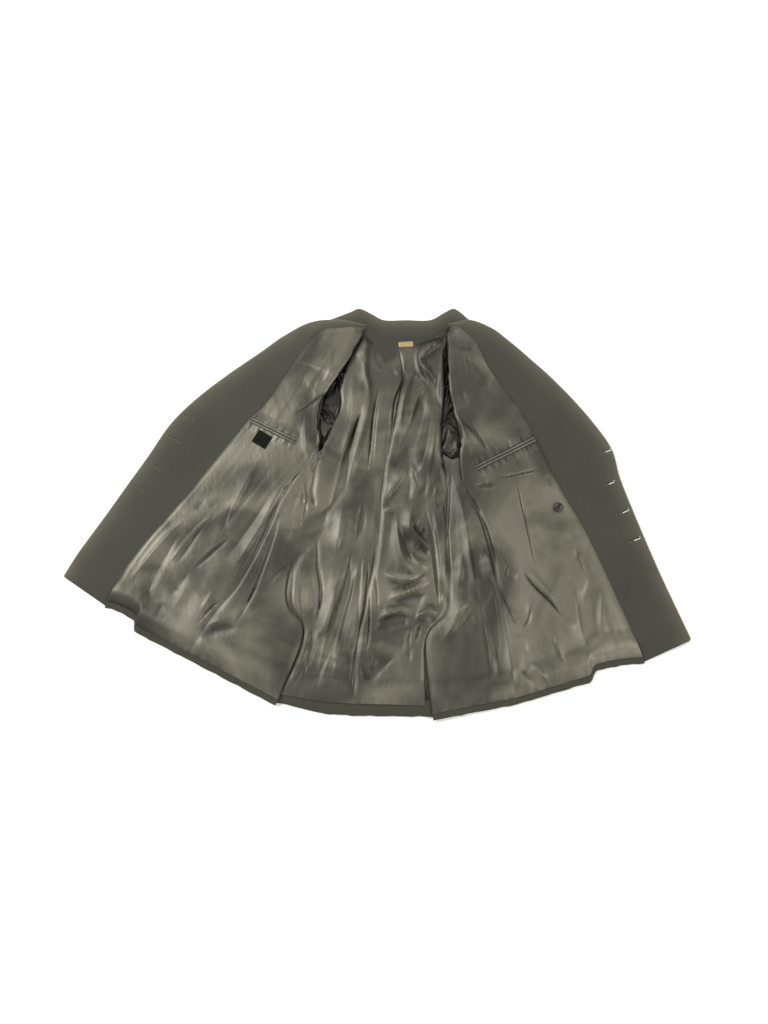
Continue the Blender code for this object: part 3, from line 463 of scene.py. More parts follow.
# Side panels and back, outside cloth
# The side panels close the body below the arms, and the back is cut in two halves with a seam down the
# middle. Each side of the back runs on under the side panel, where a vent is left open to the hem.
BACK = (
    (-3.3, 37.2, 1.5, 31.1, 4.4, 34.6, 8.7, 35.8, 13.6, 37.4),
    (-5.6, 32.2, 0.7, 26.8, 5.2, 28.3, 9.5, 30.1, 13.5, 32.6),
    (-7.3, 26.8, -0.1, 22.6, 3.5, 23.7, 9.7, 24.7, 13.6, 25.4),
    (-7.7, 21.3, -0.7, 18.4, 2.9, 17.3, 8.6, 18.4, 13.0, 18.4),
    (-11.1, 12.8, -1.7, 11.0, 1.7, 10.7, 7.0, 11.5, 12.9, 12.0),
    (-13.0, 7.4, -2.5, 5.4, 0.9, 5.2, 6.9, 6.2, 13.7, 7.4),
    (-14.7, -0.2, -3.1, -1.2, 0.5, -1.2, 7.3, -1.2, 13.8, -0.2),
    (-15.4, -6.7, -3.9, -7.3, -0.1, -6.9, 7.3, -6.9, 13.9, -6.9),
    (-16.9, -12.3, -4.8, -13.0, -1.2, -13.0, 6.8, -13.0, 14.1, -13.0),
    (-17.2, -18.4, -6.2, -19.3, -2.7, -19.3, 5.5, -19.3, 13.5, -19.4),
    (-14.6, -23.9, -7.3, -25.5, -3.9, -26.0, 4.4, -26.0, 9.5, -25.3),
    (-19.6, -37.4, -10.6, -38.9, -4.9, -39.3, 1.5, -39.4, 9.2, -39.7),
)
UPPER_BACK_LIFT = (1.8, 3.2, 3.8, 4.0)
# Side panels from the underarm to the hem, height in mm: middle | seam with the back
SIDE_LIFT = (
    (19.5, 18.5),
    (14.5, 10.0),
    (11.5, 5.0),
    (9.5, 2.5),
    (8.5, 1.0),
    (8.5, 0.8),
    (8.5, 4.0),
    (2.0, 5.4),
)
UNDERARM_ROW = 7
UNDERARM_SCOOP = 0.9 * CM
BACK_UNDERARM_ROW = 4
RIGHT_VENT_UNDERLAP = (-21.8, -36.2)
LEFT_VENT_UNDERLAP = (12.0, -39.5)
LEFT_VENT_CORNER = (10.8, -40.2)
SHOULDER_WIDTH = 1.9 * CM


def placed(spot):
    """A plan point in metres from one of the tables' own points."""
    return (np.array(spot) - np.array(LAID_MIDDLE)) * CM


def back_sections(steps):
    """The back's rows at a number of steps a row, and its height at each column."""
    rows = plan(BACK, steps)
    upper = through(UPPER_BACK_LIFT + tuple(row[1] for row in SIDE_LIFT[:7]) + (0.0,), steps)
    upper *= eased((len(upper) - 1 - 1.25 * steps - np.arange(len(upper))) / steps)
    lift = np.zeros(rows.shape[:2])
    lift[:, 0] = lift[:, -1] = np.maximum(upper, 0) * MM
    return rows, lift


def side_sections(side, steps):
    """The side panel's rows: its front seam, middle and back seam, each with its height."""
    front = plan(FRONTS[side][0], steps)[UNDERARM_ROW * steps:, 3]
    front_lift = np.maximum(through(FRONT_LIFT, steps), 0)[UNDERARM_ROW * steps:, 4] * MM
    back = plan(BACK, steps)[BACK_UNDERARM_ROW * steps:, 0 if side == "right" else 4]
    if side == "left":
        last = placed(LEFT_VENT_CORNER) - back[-1]
        back[-steps:] += last * (np.arange(1, steps + 1) / steps)[:, None]
    middle = (front + back) / 2
    down = unit(middle[steps] - middle[0])
    middle[:steps] += down * (UNDERARM_SCOOP * (1 - np.arange(steps) / steps) ** 2)[:, None]
    lift = through(SIDE_LIFT, steps) * MM
    tall = np.stack([front_lift, lift[:, 0], lift[:, 1]], axis=1) + WOOL / 2
    return raised(np.stack([front, middle, back], axis=1), tall)


for side in FRONTS:
    flat = across(side_sections(side, SHELL_STEPS), (6, 6))
    hemmed, ways, used = hem_turned_up(flat, upward(flat), (0, 12))
    piece = cloth("side_cloth_" + side, hemmed, ways, WOOL, outside_wool, used)
    lay(piece, "side_" + side, "wool_shell")

back_rows, back_lift = back_sections(SHELL_STEPS)
wide_rows = back_rows.copy()
for end, underlap in ((0, RIGHT_VENT_UNDERLAP), (-1, LEFT_VENT_UNDERLAP)):
    shift = placed(underlap) - back_rows[-1, end]
    for row in range(2 * SHELL_STEPS + 1):
        wide_rows[-1 - row, end] += shift * (1 - row / (2 * SHELL_STEPS)) ** 0.7
for row in range(SHELL_STEPS):
    width = SHOULDER_WIDTH * (1 - row / SHELL_STEPS)
    wide_rows[row, 0, 0] -= width
    wide_rows[row, -1, 0] += width
for side, part in (("right", slice(0, 3)), ("left", slice(2, 5))):
    flat = across(raised(wide_rows[:, part], back_lift[:, part] + WOOL / 2), (8, 8))
    hemmed, ways, used = hem_turned_up(flat, upward(flat), (0, 16))
    piece = cloth("back_cloth_" + side, hemmed, ways, WOOL, outside_wool, used)
    lay(piece, "back_" + side, "wool_shell")

# Sleeves
# Each sleeve is cut in two, a top sleeve and a narrower under sleeve, and lies flat under its front with
# its mouth at the side. The wool is soft and slightly wrinkled along it, and the head is eased at the armhole.


def cloudy(x, y, seed):
    """Smooth noise between -1 and 1 at points given in cells of its own."""
    table = np.random.RandomState(seed).uniform(-1, 1, (64, 64))
    low_x, low_y = np.floor(x).astype(int), np.floor(y).astype(int)
    fx, fy = eased(x - low_x), eased(y - low_y)
    one, two = [table[low_x % 64, row % 64] * (1 - fx) + table[(low_x + 1) % 64, row % 64] * fx
                for row in (low_y, low_y + 1)]
    return one * (1 - fy) + two * fy


def softened(name, node, wrinkle, seed, material):
    """A solid's form made finer and rounder, with soft wrinkles, for cloth that lies under other cloth."""
    mesh = nodes[node].data.copy()
    shape = bmesh.new()
    shape.from_mesh(mesh)
    bmesh.ops.remove_doubles(shape, verts=shape.verts, dist=0.00002)
    bmesh.ops.join_triangles(shape, faces=shape.faces, angle_face_threshold=0.9, angle_shape_threshold=3.1)
    bmesh.ops.subdivide_edges(shape, edges=shape.edges, cuts=2, use_grid_fill=True)
    spots = np.array([vert.co for vert in shape.verts])
    low, high = spots[:, 2].min(), spots[:, 2].max()
    shift = cloudy(spots[:, 0] / 0.035 + 3 * spots[:, 1], spots[:, 1] / 0.03, seed) * wrinkle
    shift *= np.clip((spots[:, 2] - 0.0012) / 0.004, 0, 1)
    for vert, extra in zip(shape.verts, shift.tolist()):
        vert.co.z = min(max(vert.co.z + extra, low), high)
    bmesh.ops.recalc_face_normals(shape, faces=shape.faces)
    area = sum(face.calc_area() for face in shape.faces) / 2
    shape.to_mesh(mesh)
    shape.free()
    mesh.shade_smooth()
    mesh.set_sharp_from_angle(angle=math.radians(50))
    mesh.materials.clear()
    mesh.materials.append(material)
    return shown(name, mesh), area


for index, side in enumerate(FRONTS):
    for part in ("top_sleeve", "under_sleeve"):
        piece, area = softened(part + "_cloth_" + side, part + "_" + side, 0.35 * MM, 50 + index, outside_wool)
        hand_over(piece, part + "_" + side, "wool_shell")

# Facings
# The facing is the wool inside each front edge. It is sewn to the shell at the edge, rolls under with the
# lapel, and ends at the seam with the lining.
FACINGS = {}
FACING_RISE = 0.8 * MM
EDGE_HIGHLIGHT = 0.85                # how strongly the painted highlight lightens the wool along the rolled front edge, and so under it
HIGHLIGHT_REACH = 1.5 * CM
facing_wool = serge("dark wool serge facing", "#30312c", "#3d3d36")

for side in FRONTS:
    shell, centre, way, level, radius, under = front_sections(side, ROW_STEPS)
    spots = shell[:, 2:5].copy()
    spots[:, :2, 2] += WOOL + GAP
    spots[:, 2, 2] = level + radius
    flat = across(spots, (28, 28))
    share = np.linspace(0, 1, flat.shape[1])[None]
    place = flat[:, :, :2] / CM
    flat[:, :, 2] += np.sin(np.pi * share) ** 1.3 * (
        FACING_RISE * (0.6 + cloudy(place[:, :, 0] / 6, place[:, :, 1] / 8, 4))
        + 0.25 * MM * cloudy(place[:, :, 0] / 1.8, place[:, :, 1] / 2.6, 5))
    turn, turn_way = turned_edge(centre, way, level, radius, under, 10, 6)
    middle = np.concatenate([flat, turn], axis=1)
    ways = np.concatenate([upward(flat), turn_way], axis=1)
    FACINGS[side] = cloth("facing_cloth_" + side, middle, ways, WOOL, facing_wool)
    # Painted highlight along the rolled front edge, weaker toward the neck
    across_row = np.linalg.norm(flat[:, 0, :2] - flat[:, -1, :2], axis=1)[:, None]
    painted_highlight = EDGE_HIGHLIGHT * np.exp(-((1 - share) * across_row / HIGHLIGHT_REACH) ** 1.1)
    painted_highlight *= 0.8 + 0.2 * cloudy(place[:, :, 0] / 2.5, place[:, :, 1] / 2.5, 6)
    from_neck = np.clip(np.arange(len(painted_highlight)) / (1.1 * ROW_STEPS), 0, 1)[:, None]
    painted_highlight *= 0.3 + 0.7 * from_neck
    marked(FACINGS[side], "painted_highlight", np.concatenate([painted_highlight, np.full(turn.shape[:2], EDGE_HIGHLIGHT)], axis=1))
    lay(FACINGS[side], "facing_" + side, "wool_facing")

# Buttonholes
# Four a side, cut through the front's edge and worked over with silk twist. Those of the left front gape, and
# the outer ends of their twist are near-white as painted light seen through the eyes; those of the right front
# lie shut.
# Inner end x, y | outer end x, y, in cm | width of the slit in mm
HOLE_LINES = (
    (44.86, 12.30, 47.20, 13.26, 0.6), (45.35, 5.72, 47.50, 6.60, 0.6), (47.75, -0.25, 50.15, 0.82, 0.6),
    (49.85, -5.72, 52.20, -4.85, 0.5), (-39.75, 20.55, -37.45, 19.45, 0.3), (-42.55, 16.05, -39.75, 14.45, 0.3),
    (-45.60, 10.35, -43.30, 8.85, 0.3), (-48.75, 5.75, -46.95, 4.45, 0.3),
)
TWIST_SPACING = 0.85 * MM
TWIST_WIDTH = 0.7 * MM
TWIST_HEIGHT = 0.45 * MM
TWIST_LENGTH = 2.4 * MM
SLIT_BOTTOM = 2 * MM
SLIT_TOP = 40 * MM


def surface_over(things):
    """A function that finds the highest point of some pieces over a plan point."""
    trees = []
    for thing in things:
        mesh = thing.data
        spots = np.empty(len(mesh.vertices) * 3)
        mesh.vertices.foreach_get("co", spots)
        trees.append(BVHTree.FromPolygons(spots.reshape(-1, 3).tolist(),
                                          [tuple(face.vertices) for face in mesh.polygons]))

    def top(x, y):
        best = 0.0
        for tree in trees:
            spot = tree.ray_cast(Vector((x, y, 1.0)), Vector((0, 0, -1)))[0]
            if spot and spot.z > best:
                best = spot.z
        return best
    return top


def joined(name, parts, material):
    """One mesh of many small loose parts, each a list of points and a list of faces."""
    points, faces = [], []
    for spots, rings in parts:
        start = len(points)
        points.extend(spots)
        faces.extend(tuple(start + index for index in ring) for ring in rings)
    mesh = bpy.data.meshes.new(name)
    mesh.from_pydata(points, [], faces)
    mesh.shade_smooth()
    mesh.materials.append(material)
    return shown(name, mesh)


def thread_part(start, stop, width, height):
    """One stitch: thread that leaves the cloth, lies over it and goes back in."""
    start, stop = Vector(start), Vector(stop)
    along = stop - start
    square = Vector((-along.y, along.x, 0)).normalized() * width / 2
    points = []
    for share, lift, wide in ((0.0, -0.3, 0.5), (0.2, 0.75, 1.0), (0.5, 1.0, 1.0), (0.8, 0.75, 1.0),
                              (1.0, -0.3, 0.5)):
        spot = start + along * share
        rise = Vector((0, 0, height * lift))
        drop = Vector((0, 0, height * 0.6))
        points += [tuple(spot + square * wide - drop), tuple(spot + square * wide * 0.6 + rise),
                   tuple(spot - square * wide * 0.6 + rise), tuple(spot - square * wide - drop)]
    faces = []
    for step in range(4):
        low = step * 4
        faces += [(low + k, low + (k + 1) % 4, low + 4 + (k + 1) % 4, low + 4 + k) for k in range(4)]
    faces += [(3, 2, 1, 0), (16, 17, 18, 19)]
    return points, faces


def twist(name, shade):
    """Silk or polyester sewing thread: small, round and a little shiny, with a spiral from its ply."""
    made, shader, place = new_material(name, Base_Color=colour(shade), Roughness=0.5, Sheen_Weight=0.3)
    relief = bumped(made, 0.4, 0.0002, pattern(made, "Wave", place, 500.0, Distortion=1.0))
    made.node_tree.links.new(relief, shader.inputs["Normal"])
    return made


# Near-white twist: the neck label's stitching, and painted light at the outer ends of the left buttonholes
pale_twist = twist("pale silk twist", "#f4f1e6")
olive_twist = twist("olive silk twist", "#77735f")
dark_thread = twist("dark sewing thread", "#26251f")


def way_along(start, stop):
    """The way from one plan point to another, the way square to it, and the distance."""
    length = np.linalg.norm(stop - start)
    along = (stop - start) / length
    return along, np.array([-along[1], along[0]]), length


def run_along(points):
    """How far along a line of points each of them lies."""
    return np.r_[0, np.linalg.norm(np.diff(points, axis=0), axis=1).cumsum()]


def hole_outline(line, grow):
    """Points round a slit with a round eye at its outer end, in plan."""
    inner, outer = placed(line[:2]), placed(line[2:4])
    along, square = way_along(inner, outer)[:2]
    half = line[4] * MM / 2
    eye = max(half * 1.25, 0.5 * MM)
    spots = []
    for angle in np.linspace(math.pi / 2, 3 * math.pi / 2, 5):
        spots.append(inner + (along * math.cos(angle) + square * math.sin(angle)) * (half + grow))
    spots.append(outer - along * eye - square * (half + grow))
    for angle in np.linspace(-math.pi * 0.7, math.pi * 0.7, 9):
        spots.append(outer + (along * math.cos(angle) + square * math.sin(angle)) * (eye + grow))
    spots.append(outer - along * eye + square * (half + grow))
    return np.array(spots)


def carve(thing, rings, low, high):
    """Cuts straight through a piece inside each ring of plan points, from one height to another."""
    parts = []
    for ring in rings:
        count = len(ring)
        points = [(x, y, z) for z in (low, high) for x, y in ring]
        sides = [(k, (k + 1) % count, count + (k + 1) % count, count + k) for k in range(count)]
        parts.append((points, sides + [tuple(range(count))[::-1], tuple(range(count, 2 * count))]))
    cutter = joined("cutter", parts, thing.data.materials[0])
    cut = thing.modifiers.new("cut", "BOOLEAN")
    cut.object = cutter
    cut.solver = "EXACT"
    done = bpy.data.meshes.new_from_object(thing.evaluated_get(bpy.context.evaluated_depsgraph_get()))
    thing.modifiers.remove(cut)
    if len(done.polygons) > len(thing.data.polygons) * 0.9:
        thing.data = done
    bpy.data.objects.remove(cutter)


for side, lines, thread in (("left", HOLE_LINES[:4], pale_twist), ("right", HOLE_LINES[4:], olive_twist)):
    top = surface_over([FACINGS[side]])
    parts = {"inner": [], "outer": []}
    for line in lines:
        ring = hole_outline(line, 0.25 * MM)
        wide = hole_outline(line, TWIST_LENGTH)
        run = run_along(ring)
        for place in np.arange(0, run[-1], TWIST_SPACING):
            near = [np.interp(place, run, ring[:, axis]) for axis in (0, 1)]
            far = [np.interp(place, run, wide[:, axis]) for axis in (0, 1)]
            level = top(*far) + 0.05 * MM
            inner, outer = placed(line[:2]), placed(line[2:4])
            share = (np.array(near) - inner) @ (outer - inner) / ((outer - inner) @ (outer - inner))
            if share <= 0.5 or side == "right":
                far = [near[axis] + 0.55 * (far[axis] - near[axis]) for axis in (0, 1)]
            parts["outer" if share > 0.5 else "inner"].append(
                thread_part((*near, level), (*far, level), TWIST_WIDTH, TWIST_HEIGHT))
    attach(joined("buttonhole_twist_" + side, parts["inner"], olive_twist), "root")
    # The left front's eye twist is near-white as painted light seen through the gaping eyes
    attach(joined("buttonhole_eye_twist_" + side, parts["outer"], thread), "root")
    for thing in (FACINGS[side], SHELLS[side]):
        carve(thing, [hole_outline(line, 0.0) for line in lines], SLIT_BOTTOM, SLIT_TOP)

# Linings of the fronts, sides and back
# The body lining is grey-olive satin, cut a little larger than the cloth so that it never pulls. The ease
# lies in long soft folds, lapped in places, that fall from the neck and armholes to the hem.
SATIN = 0.7 * MM
FRONT_HEM_SHOWS = 1.0 * CM
BACK_HEM_SHOWS = 2.0 * CM
FLOAT = 3.2 * MM
CREASE_HEIGHT = 1.15

# Creases: four points of each line x, y in cm | width in cm | height in mm, below 0 for a trough
CREASES = (
    (-3.4, 22.8, -5.2, 14.8, -7.5, 6.9, -10.1, -0.9, 1.7, -9),
    (-2.4, 32.3, -1.8, 22.7, -4.2, 13.2, -6.6, 3.7, 3.2, 8),
    (-0.7, 35, -0.2, 33.1, 0.3, 31.2, 1, 29.3, 1.6, -5),
    (-2.7, 39, -2.4, 36.2, -2.3, 33.3, -2.3, 30.5, 2, 6),
    (-5.3, 29.3, -5.1, 22.5, -6, 15.8, -8, 9.4, 2.6, 4),
    (0.8, 28.1, -0.8, 21, -1.5, 13.8, -2.2, 6.5, 0.6, -2.2),
    (1.9, 28.1, 0.3, 21, -0.4, 13.8, -1, 6.5, 1.6, 2),
    (6.4, 33.5, 4.6, 25.5, 3, 17.5, 1.9, 9.4, 0.6, -2.2),
    (3.9, 26.9, 2.3, 20.2, 1.6, 13.4, 0.7, 6.5, 1.4, -2),
    (7.7, 30.5, 5.8, 25.4, 4.8, 20, 4.2, 14.6, 2.6, 6),
    (9.4, 26.3, 7.8, 20, 5.3, 14, 3, 7.9, 2.2, -6),
    (11.1, 27.2, 8.5, 24.9, 7.3, 21.5, 6.5, 18.1, 1.6, 4),
    (10.8, 23.9, 10.7, 18, 9.6, 12.2, 7.8, 6.5, 4.5, 8),
    (6.7, 10.2, 4.7, 7.8, 3, 5.3, 1.6, 2.5, 1.6, 5),
    (6.7, 10.2, 7.5, 8.3, 8.1, 6.3, 8.6, 4.2, 1.8, 4),
    (6.7, 7.9, 6.5, 5.7, 6.2, 3.5, 5.5, 1.4, 2, -4),
    (8.3, 32, 9.7, 30, 11.2, 28.2, 11.7, 25.7, 1.4, 6),
    (9.7, 28.1, 8.7, 28.8, 7.9, 29.1, 7.4, 28.1, 1.6, -3),
    (11.9, 23.9, 12, 16.6, 11.2, 9.4, 9.5, 2.2, 1.8, 6),
    (14.4, 37.8, 12.4, 35.8, 10, 34.2, 8.4, 32, 1.6, 6),
    (13.2, 34.1, 13, 29.7, 12.9, 25.4, 13.2, 21, 1.6, 4),
    (3.3, 30.8, 4.1, 29.8, 4.9, 29.8, 5.7, 30.8, 1.4, 3),
    (2.2, 30.5, 2.8, 29.7, 3.3, 28.9, 3.9, 28.1, 1.2, -2),
    (-10.2, 35, -9.7, 31.9, -9.7, 28.9, -11.6, 26.3, 3.2, 4),
    (-14.2, 27.5, -13.7, 26.2, -13.1, 25, -11.9, 24.2, 2, 3),
    (-12.2, 28.1, -13, 25.8, -13.7, 23.4, -14.4, 21, 2.6, -3),
    (-17.8, 19.2, -14.7, 21.5, -11.5, 23.9, -8.4, 26.3, 0.6, -1.4),
    (-12.7, 22.8, -11.9, 18.8, -12.3, 14.8, -12, 10.8, 2.4, -4),
    (-14.4, 20.4, -14.6, 16.9, -14.3, 13.4, -13.7, 9.9, 2.4, 4),
    (-13.4, 10.8, -13.2, 7.4, -13.8, 4.1, -15.9, 1.4, 2.2, -4),
    (16.1, 33.5, 17.5, 33.7, 19, 33.6, 20.4, 33.2, 2.6, -4),
    (16.6, 26.3, 17.1, 24.5, 17.7, 22.7, 18.5, 21, 2.4, -4),
    (20.3, 26.9, 21.2, 26.4, 22, 25.9, 22.9, 25.4, 3, -2),
    (21.8, 33.5, 22.8, 30.3, 23.8, 27.1, 24.8, 23.9, 3, 2),
    (17.9, 18.6, 19.7, 16.5, 21.3, 14.1, 22.6, 11.7, 0.6, -1.6),
    (15.9, 21, 17, 17.6, 18.1, 14.2, 18.9, 10.8, 1.8, 4),
    (19.1, 5.6, 20.9, 5.3, 22.7, 5.3, 24.5, 5.9, 1.4, -2),
    (16.3, 6.2, 18, 3.9, 19.6, 1.5, 21.2, -0.9, 1.2, -3),
    (-9.4, 2, -12.9, -2.5, -16.6, -6.7, -19.4, -11.7, 2.4, -6),
    (-7, 2.9, -7.2, -1, -7.7, -4.8, -8.4, -8.7, 1.6, 5),
    (-15.5, -6, -17.4, -11.8, -17.7, -18, -14, -22.6, 0.7, -2.5),
    (-16.3, -9.3, -16.5, -12.9, -16.2, -16.5, -15.3, -19.9, 1.6, 3),
    (-12.1, -5, -12.1, -10.2, -11.3, -15.3, -11.7, -20.5, 0.7, -2.5),
    (-13.2, -14, -13.2, -16.2, -13.3, -18.4, -13.5, -20.5, 2, 4),
    (-5.4, -7.2, -6.7, -16.2, -9.5, -24.9, -12.1, -33.7, 1.5, -10),
    (-7.2, -10.8, -8.5, -16.4, -10, -21.9, -12.8, -26.9, 2.2, 6),
    (-3.6, -8.7, -5.1, -16.9, -7, -25, -8.8, -33.2, 2.4, 6),
    (-13.1, -22.6, -14.2, -26.4, -15.4, -30.2, -16.6, -34, 1.2, 4),
    (-12.7, -22.3, -13.2, -25.7, -13.8, -29.2, -14.5, -32.6, 1, -4),
    (-11.3, -22.9, -12.2, -25.9, -13.1, -29, -13.9, -32, 1.2, 4),
    (-0.4, -3.2, -0.8, -9.7, -2.2, -16.1, -3.2, -22.6, 0.6, -2.2),
    (-3.2, -22.6, -4.2, -27.1, -4.8, -31.6, -5.1, -36.3, 0.6, -2),
    (-2.8, -7.8, -2.9, -13.2, -3.3, -18.6, -3.8, -24, 1.2, 3),
    (-1.7, -8.1, -2, -12.9, -2.5, -17.7, -3.2, -22.6, 0.6, -1.6),
    (-1.6, -14, -1.6, -19.1, -1.8, -24.2, -2.5, -29.2, 0.6, -1.6),
    (-0.5, -11.7, -0.3, -14.2, -0.1, -16.8, 0.1, -19.4, 0.6, -1.2),
    (-3, 2.9, -3.4, -0.1, -3.8, -3.2, -4.2, -6.3, 1.8, -4),
    (-6.2, -29.2, -6.5, -29.9, -6.8, -30.5, -7.1, -31.2, 2.4, -3),
    (-3.5, -28.6, -2.1, -32.3, 0.9, -30.3, 4, -27.8, 2, -4),
    (-1.7, -30.6, -1.1, -29.9, -0.5, -29.3, 0.1, -28.6, 1.8, 3),
    (-4.7, -26.3, -5.1, -27.3, -5.5, -28.2, -5.9, -29.2, 1.6, 3),
    (3.2, 2.3, 2.3, 1.8, 1.4, 1.4, 0.4, 1.7, 1.4, -4),
    (0.7, 0.5, 2.1, 0.8, 3.3, 0.8, 3.8, -0.5, 1.2, 3),
    (3.9, -0.2, 4.1, -4.7, 5.2, -9, 8, -12.4, 1.5, 6),
    (4.8, -2, 5.5, -5.4, 6.6, -8.7, 8.8, -11.4, 1.3, -5),
    (9, -0.5, 7, -2.9, 8.9, -5.3, 10.8, -7.8, 1.3, 6),
    (9.7, -2.3, 9.1, -3.2, 8.9, -4, 9.6, -4.9, 1.5, -6),
    (6.5, -7.2, 7.2, -9.1, 8.8, -10.3, 10.7, -10.2, 1.2, 5),
    (7.4, -6, 8.5, -6.8, 9.5, -7.7, 10.4, -8.7, 1.2, -4),
    (7.2, 2.9, 6.7, 0.3, 6.3, -2.4, 5.9, -5, 2.2, 4),
    (0.7, -11.7, 3.2, -12.9, 6, -13.3, 8.1, -12.4, 1.5, 5),
    (2.5, -15.2, 5.3, -14.7, 7.7, -13.5, 9.8, -11.7, 1.5, -5),
    (1.6, -17.3, 5, -16.1, 8.3, -14.7, 11, -12.6, 1.4, 6),
    (1.6, -18.8, 4.5, -17.9, 7.3, -16.9, 10.1, -15.8, 2.2, -5),
    (-0.8, -22, 1.8, -20.3, 4.8, -19.5, 7.3, -20.8, 1.5, 6),
    (7.3, -20.8, 8.8, -19.8, 10.4, -19.4, 12.2, -19.5, 1.4, 5),
    (-0.5, -23.4, 1.8, -22.1, 4.2, -21.4, 6.4, -22.9, 2.2, -5),
    (7, -22, 6.2, -24.7, 6.2, -27.5, 6.4, -30.3, 1.2, -4),
    (8.2, -21.7, 7.9, -23, 7.6, -24.4, 7.3, -25.7, 1, -3),
    (9.7, -21.1, 10.5, -20.9, 11.3, -20.7, 12.1, -20.5, 1.8, -4),
    (5.5, -24, 5.3, -25, 5.1, -25.9, 4.9, -26.9, 2.2, 2),
    (9.6, 1.5, 10.9, -6, 11.6, -12.8, 12.2, -19.6, 0.8, -4),
    (13, 2.9, 13.4, 0.8, 13.7, -1.4, 13.9, -3.5, 0.9, -5),
    (14, -3.2, 14.1, -6.8, 14.1, -10.4, 14, -14, 0.6, -2),
    (11.2, 1.1, 12, -4.5, 12.6, -10.2, 12.2, -15.8, 1.6, 4),
    (12.8, -18.2, 13, -17.4, 13.2, -16.6, 13.4, -15.8, 1.4, 4),
    (12.7, -25.5, 14.7, -22.7, 16.2, -19.1, 19.4, -17, 1.5, 5),
    (16, -23.4, 17, -21.9, 18, -20.5, 19.7, -19.9, 2.4, -4),
    (15.5, -15.2, 16.4, -12.7, 16.7, -10.1, 16.6, -7.5, 2.2, 3),
    (17.8, -3.8, 18.3, -8.7, 19.1, -13.5, 20.3, -18.2, 1.2, 4),
    (20.3, -18.2, 21.6, -23.7, 22.3, -29.2, 22.7, -34.9, 1.2, 4),
    (23.1, -14, 22.7, -20.2, 23.1, -26.4, 23.6, -32.6, 2.6, -5),
    (18.7, -4.4, 19.3, -8.1, 19.9, -11.7, 21, -15.2, 1.8, -3),
    (18.2, 2.9, 21.3, -2.3, 22.9, -8.1, 23.7, -14, 0.7, -2.4),
    (23.7, -14, 24.8, -17, 26.1, -19.9, 27.8, -22.6, 0.7, -2.2),
    (21.1, -7.5, 22.1, -9.5, 22.5, -11.7, 22.2, -14, 1.6, 4),
    (-32.6, -0.1, -35.6, -3.2, -38.5, -6.5, -41.1, -9.9, 1.1, 4),
    (-33.7, -1.6, -35.9, -4.6, -37.9, -7.6, -39.9, -10.7, 1.6, -3),
    (-29.4, -5.4, -31.8, -7, -34, -9, -36.1, -11.1, 0.7, -2.4),
    (-36.9, -11.4, -38.1, -13.2, -39.4, -15, -40.8, -16.6, 2.2, -5),
    (-42, -17.4, -42.5, -18.7, -43.1, -20, -43.7, -21.4, 2.4, -4),
    (-37.5, -14.4, -38.3, -16.1, -39.2, -17.8, -40, -19.6, 2.4, 3),
    (-14.3, 9.6, -19.9, 1.9, -23.9, -6.8, -28.8, -15.1, 0.7, -2.4),
    (-30.6, -17.4, -32.4, -18.7, -33.9, -20.3, -35.2, -22.1, 0.8, -2),
    (-19.2, 0.7, -21.5, -7.4, -24.4, -15.3, -28.2, -22.8, 0.7, -2.8),
    (-17, 7.7, -20.8, 1.3, -24.6, -5.1, -28.5, -11.4, 1.8, 4),
    (-21.2, 3.8, -24.2, -0.9, -27.4, -5.5, -30.8, -9.9, 2.4, -2),
    (-24, 10, -26.3, 5.7, -28.5, 1.3, -30.6, -3.1, 1.6, 3),
    (-29.2, 1.5, -29.8, -0.3, -30.4, -2.1, -31, -3.9, 1.2, -2),
    (-13.9, 5.7, -13.4, 4.2, -12.9, 2.6, -12.3, 1.1, 1.4, -5),
    (-15, 6.9, -14.8, 4.5, -14.3, 2.2, -13.4, -0.1, 1.2, 4),
    (-8.1, 3.8, -12.8, -3.1, -18.1, -9.6, -23.1, -16.3, 2.8, -5),
    (-16, -6.5, -17.7, -12.1, -17.8, -17.9, -14.3, -22.5, 0.7, -2.4),
    (-17.1, -13.7, -16.8, -16.3, -16.1, -18.8, -14.7, -21, 1.2, 3),
    (-11.9, -3.9, -12.1, -10.1, -11.4, -16.3, -12, -22.5, 0.7, -2.2),
    (-35.7, -22.8, -33.3, -21.9, -30.8, -21.2, -28.3, -20.7, 2, 3),
    (-35.7, -24.7, -32.7, -23.6, -29.8, -22.9, -26.7, -23.2, 2.6, -4),
    (-39, -3.9, -41.7, -8.5, -44, -13.2, -46.1, -18.1, 1.8, -3),
    (-38, -0.8, -41.9, -4.9, -45.5, -9.2, -48.9, -13.7, 2, 3),
    (-44.4, -13.7, -45.3, -14.9, -46.3, -16.1, -47.2, -17.4, 2, 2.5),
    (-34.2, 2.6, -35, 1.9, -35.7, 1.1, -36.5, 0.3, 1.6, -2),
    (-22.4, -14, -23.3, -15.9, -24.3, -17.7, -25.3, -19.6, 2.4, 3),
    (-32.2, -15.1, -33, -16.7, -33.9, -18.3, -34.7, -19.9, 1.6, 2),
    (16.1, 19.7, 18.5, 17.2, 20.6, 14.6, 22.4, 11.7, 0.6, -1.6),
    (16.8, 6.2, 20.1, -0.3, 22.2, -7.3, 23.7, -14.4, 0.7, -2.6),
    (23.7, -14.4, 24.6, -16.9, 25.8, -19.2, 27.2, -21.5, 0.7, -2.2),
    (18.7, 2.5, 20.8, -1.8, 22.7, -6.2, 24, -10.9, 1.2, 4),
    (18.4, 3.7, 19.2, 2.4, 20, 1, 20.7, -0.4, 0.9, -2.6),
    (28.3, -11.1, 30.8, -14.6, 33.9, -17.7, 36.6, -21.1, 0.8, -3),
    (29.5, -10.9, 31.3, -13.2, 33.2, -15.5, 35.3, -17.6, 1.4, 2.5),
    (25.8, -10.3, 25.6, -11.1, 25.3, -12, 25.1, -12.9, 0.8, -2.6),
    (27.4, -11.3, 27.2, -12.1, 26.9, -12.9, 26.6, -13.6, 1.4, 3),
